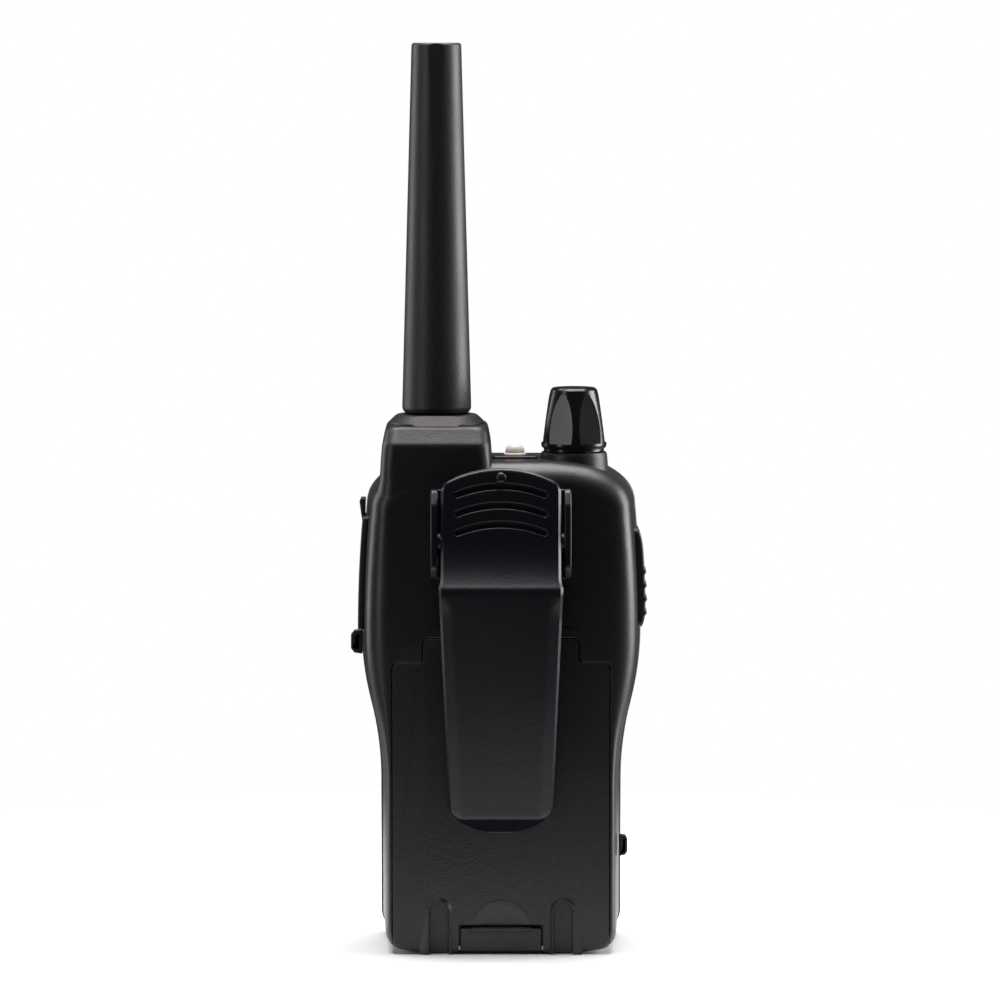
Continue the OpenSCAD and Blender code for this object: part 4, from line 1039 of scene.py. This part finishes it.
def banana(z, half, width, radius):
    """A groove outline: a band between two arcs with round ends, counter-clockwise in X and Z."""
    def bow(x):
        return z - width / 2 - radius + math.sqrt(radius ** 2 - x * x)

    across = [half * (i / 8 - 1) for i in range(17)]
    lower = [(x, bow(x) - width / 2) for x in across]
    upper = [(x, bow(x) + width / 2) for x in reversed(across)]
    slope = math.degrees(math.atan2(bow(half) - bow(half * 0.95), half * 0.05))
    end = arc(half, bow(half), width / 2, [slope + 30 * k - 90 for k in range(1, 6)])
    other_end = [(-x, z) for x, z in reversed(end)]
    return lower + end + upper + other_end


clip = stack("clip", [clip_section(z) for z in clip_heights()])
# The hooked lip under the tip, which keeps a belt from slipping off; its lower edge is an arc.
nose_outline = rounded_outline([
    (BACK + 2.0, 31.5, 0), (BACK + 0.35, 31.0, 0), (BACK + 0.35, 25.9, 0.2), (BACK + 0.7, 25.5, 0.15),
    (BACK + 1.45, 25.5, 0.3), (BACK + 0.85, 28.4, 0.4), (BACK + 2.3, 29.6, 0),
])
NOSE_HALF, NOSE_LOW, NOSE_ARC = 8.9, 25.55, 17.4
nose = prism("nose", "x", nose_outline, -NOSE_HALF, NOSE_HALF)
combine(nose, [rod("nose_arc", "y", 0, NOSE_LOW + NOSE_ARC, 10, 26, NOSE_ARC, 160)], "INTERSECT")

LUG_IN, LUG_WIDE, LUG_R = 9.8, 2.4, 1.9
lug_starts = (-LUG_IN - LUG_WIDE, LUG_IN)
lugs = [rod("lug", "x", PIN_Y, PIN_Z, x, x + LUG_WIDE, LUG_R, 40, 0.2) for x in lug_starts]
join(clip, nose, *lugs)


def groove(z):
    """One of the arched grooves of the thumb pad, its mouth rounded."""
    outline = banana(z, 8.9, 1.1, ARCH_R)
    return prism("groove", "y", outline, clip_face(z) - 0.9, clip_face(z) - 0.02, 0.3, -0.42)


def thumb_dome(z):
    """The small oval dome above the grooves."""
    profile = [(1.15 * c, 0.75 * s) for c, s in arc(0, 0, 1, range(-40, 86, 9))]
    dome = turned("dome", (0, 0), profile, 32)
    rotate(dome, -90, "X")
    move(dome, 0, clip_face(z) - 0.12, z)
    return dome


carve(
    clip,
    rod("pin_hole", "x", PIN_Y, PIN_Z, -13.5, 13.5, 1.05),
    rod("spring_room", "x", PIN_Y, PIN_Z, -LUG_IN, LUG_IN, 1.7),
    *[groove(z) for z in (98.0, 94.1, 90.2)],
)
join(clip, thumb_dome(99.2))
finish_piece(clip, "clip", clip_black, ["clip_lever"], 30)

# Bracket: a foot plate with two ears that hold the hinge pin, and a T-shaped foot in the case.
ear_corners = [
    (BACK + 0.3, 78.3, 0.2), (PIN_Y - 0.8, 78.3, 1.5), (PIN_Y + 1.6, 80.6, 2.0), (PIN_Y + 2.1, 86, 3.0),
    (PIN_Y + 1.8, 93.4, 2.0), (PIN_Y - 0.4, 96.6, 1.6), (BACK + 0.3, 96.6, 0.3),
]
EAR_OUT, EAR_WIDE = 14.4, 1.5
BOSS_IN, BOSS_WIDE = 12.3, 0.9
BOSS_OUT = BOSS_IN + BOSS_WIDE
TEE_GAP = 0.15
ear = rounded_outline(ear_corners)
bracket = prism(
    "bracket", "y", rounded_rect(0, 87.25, 2 * EAR_OUT, 18.5, 1.6), BACK + 0.06, BACK + 1.31, 0.05, 0.4,
)
join(
    bracket,
    *[prism("ear", "x", ear, x, x + EAR_WIDE, 0.35, 0.35) for x in (-EAR_OUT, EAR_OUT - EAR_WIDE)],
    *[rod("boss", "x", PIN_Y, PIN_Z, x, x + BOSS_WIDE, 1.8, 32, 0.1) for x in (-BOSS_OUT, BOSS_IN)],
    box("tee_neck", (TEE_GAP - NECK_HALF, 13.8, 77.8), (NECK_HALF - TEE_GAP, BACK + 0.4, 87.0)),
    box("tee_head", (TEE_GAP - TEE_HALF, TEE_IN + TEE_GAP, 77.8), (TEE_HALF - TEE_GAP, 14.85, 87.0)),
)
carve(bracket, rod("pin_seat", "x", PIN_Y, PIN_Z, -16, 16, 1.0))
finish_piece(bracket, "bracket", clip_black, ["clip_bracket"], 32)

# ---------------------------------------------------------------- battery door
door = prism("door", "y", door_outline(0), DOOR_IN + 0.1, BACK, 0, 0.22)
combine(door, [stack("undrafted_shell", rear_shell_rings(drafted=False))], "INTERSECT")

SLOT_X, SLOT_HALF, SLOT_ARCH = 12.8, 2.0, 8.9


def slot_outline(side, inner, outer, top, foot):
    """An arch that runs on below the door. Inner and outer are its half widths from its middle line."""
    cx = side * SLOT_X
    points = []
    for k in range(13):
        a = math.pi * k / 12
        half = outer if side * math.cos(a) > 0 else inner
        points.append((cx + half * math.cos(a), SLOT_ARCH + (top - SLOT_ARCH) * math.sin(a)))
    spread = foot - outer
    left, right = (inner, outer + spread) if side > 0 else (outer + spread, inner)
    return points + [(cx - left, -3), (cx + right, -3)]


def slot_rim(side):
    """The raised rim of a charging stand's guide slot, wider on its outer side and towards its foot."""
    low = slot_outline(side, 2.7, 3.0, 12.0, 4.4)
    high = slot_outline(side, 2.25, 2.35, 11.25, 2.6)
    return stack("rim", [at_depth(low, BACK - 0.4), at_depth(low, BACK), at_depth(high, BACK + 0.5)])


def door_slot(side):
    """The slot itself, which opens a little at its mouth."""
    wide = SLOT_HALF + 0.15
    floor = slot_outline(side, SLOT_HALF, SLOT_HALF, 10.9, SLOT_HALF)
    mouth = slot_outline(side, wide, wide, 11.05, wide)
    levels = [(floor, BACK - 1.25), (floor, BACK + 0.3), (mouth, BACK + 0.6)]
    return stack("slot", [at_depth(outline, y) for outline, y in levels])


def ball(name, centre, radii, sides=48):
    """An ellipsoid with small flat poles."""
    globe = turned(name, (0, 0), arc(0, 0, 1, [7.5 * k - 90 for k in range(1, 24)]), sides)
    globe.data.transform(Matrix.Diagonal((*radii, 1)))
    move(globe, *centre)
    return globe


join(door, slot_rim(1), slot_rim(-1))
carve(
    door,
    box("trim", (-30, 0, -6), (30, 30, 0.3)),
    door_slot(1),
    door_slot(-1),
    ball("scoop", (0, BACK + 0.5, 6.2), (6.2, 1.7, 5.6)),
    box("latch_gap", (-8.75, 5, -6), (8.75, 30, 6.3)),
    box("foam_seat", (-19.3, 5, 17.8), (19.3, 14.7, 56.2)),
)
join(
    door,
    *box_pair("foot", (14.75, 14.2, 0), (16.85, 15.75, 1.6), 0.45),
    *box_pair("rail", (21.2, 12.9, 8), (23.2, 13.7, 58)),
    *box_pair("rail_neck", (21.25, 13.0, 8.1), (22.15, 14.3, 57.9)),
)
finish_piece(door, "door", case_black, ["battery_door"])

LATCH_Y, LATCH_Z = BACK - 0.85, 1.3
LATCH_HALF, LATCH_TOP, LATCH_R = 8.4, 5.6, 0.65
latch_low = LATCH_Z - 0.6
latch_outline = rounded_rect(0, (latch_low + LATCH_TOP) / 2, 2 * LATCH_HALF, LATCH_TOP - latch_low, 0.5)
latch = prism("latch", "y", latch_outline, LATCH_Y - LATCH_R, LATCH_Y + LATCH_R, 0.1, 0.35)
join(
    latch,
    rod("barrel", "x", LATCH_Y, LATCH_Z, -LATCH_HALF, LATCH_HALF, LATCH_R),
    rod("lip", "x", LATCH_Y + 0.45, 4.75, -6.5, 6.5, 0.4, 24, 0.3),
)
carve(latch, rod("latch_hole", "x", LATCH_Y, LATCH_Z, -9, 9, 0.49, 24))
finish_piece(latch, "latch", case_black, ["door_latch"], 35)

# ---------------------------------------------------------------- floor, light and camera
FLOOR_R = 900
FADE_START, FADE_END = 0.09, 0.19


def floor_white():
    """A pale floor that fades out with distance into the white surround, so that no horizon shows."""
    material = new_material("floor_white", (0.92, 0.92, 0.925), 0.55)
    tree = material.node_tree
    shader = tree.nodes["Principled BSDF"]
    noise = texture(tree, "ShaderNodeTexNoise", 60, 3.0)
    tone = colour_between(tree, noise.outputs["Fac"], (0.90, 0.90, 0.905), (0.93, 0.93, 0.93))
    link(tree, tone, shader.inputs["Base Color"])
    place = tree.nodes.new("ShaderNodeTexCoord")
    centred = tree.nodes.new("ShaderNodeMapping")
    centred.inputs["Location"].default_value = (0, 0.045, 0)
    distance = tree.nodes.new("ShaderNodeVectorMath")
    distance.operation = "LENGTH"
    link(tree, place.outputs["Object"], centred.inputs["Vector"])
    link(tree, centred.outputs["Vector"], distance.inputs[0])
    fade = ramp(tree, distance.outputs["Value"], 1, 0, FADE_START, FADE_END)
    link(tree, fade, shader.inputs["Alpha"])
    return material


floor = add_mesh("floor", at_height(circle(0, 0, FLOOR_R, 96), 0), [list(range(96))])
floor.data.transform(Matrix.Scale(MM, 4))
floor.data.materials.append(floor_white())


def softbox(name, place, target, width, height, power, colour=(1, 1, 1)):
    """A rectangular light in metres and watts that faces its target."""
    light = bpy.data.lights.new(name, "AREA")
    light.shape = "RECTANGLE"
    light.size, light.size_y = width, height
    light.energy = power
    light.color = colour
    obj = bpy.data.objects.new(name, light)
    obj.location = place
    obj.rotation_euler = (Vector(target) - Vector(place)).to_track_quat("-Z", "Y").to_euler()
    bpy.context.scene.collection.objects.link(obj)


softbox("top_light", (0.02, -0.08, 0.75), (0, -0.03, 0), 0.7, 0.6, 11.5, (1, 0.975, 0.95))
softbox("left_front_strip", (0.58, 0.46, 0.22), (0, 0, 0.09), 0.10, 0.6, 0.85)
softbox("left_strip", (0.68, -0.28, 0.25), (0, 0, 0.09), 0.30, 0.7, 2.4)
softbox("right_strip", (-0.74, -0.12, 0.25), (0, 0, 0.09), 0.42, 0.7, 9.0)

# The surround is white to the camera, and gives only a faint light of its own.
world = bpy.data.worlds.new("studio")
world.use_nodes = True
bpy.context.scene.world = world
tree = world.node_tree
background = tree.nodes["Background"]
background.inputs["Color"].default_value = (0.9, 0.9, 0.9, 1)
background.inputs["Strength"].default_value = 0.04
seen = tree.nodes.new("ShaderNodeBackground")
seen.inputs["Color"].default_value = (1, 1, 1, 1)
path = tree.nodes.new("ShaderNodeLightPath")
mix = tree.nodes.new("ShaderNodeMixShader")
link(tree, path.outputs["Is Camera Ray"], mix.inputs[0])
link(tree, background.outputs[0], mix.inputs[1])
link(tree, seen.outputs[0], mix.inputs[2])
link(tree, mix.outputs[0], tree.nodes["World Output"].inputs["Surface"])

bpy.context.scene.view_settings.view_transform = "Standard"

camera_data = bpy.data.cameras.new("camera")
LENS, SENSOR = 200, 36
VIEW_WIDTH = 0.2078
camera_data.lens = LENS
camera_data.sensor_width = SENSOR
camera = bpy.data.objects.new("camera", camera_data)
bpy.context.scene.collection.objects.link(camera)
elevation = math.radians(5)
aim = Vector((0.0002, 0, 0.0928))
distance = VIEW_WIDTH * LENS / SENSOR
camera.location = aim + distance * Vector((0, math.cos(elevation), math.sin(elevation)))
camera.rotation_euler = (aim - camera.location).to_track_quat("-Z", "Y").to_euler()
bpy.context.scene.camera = camera
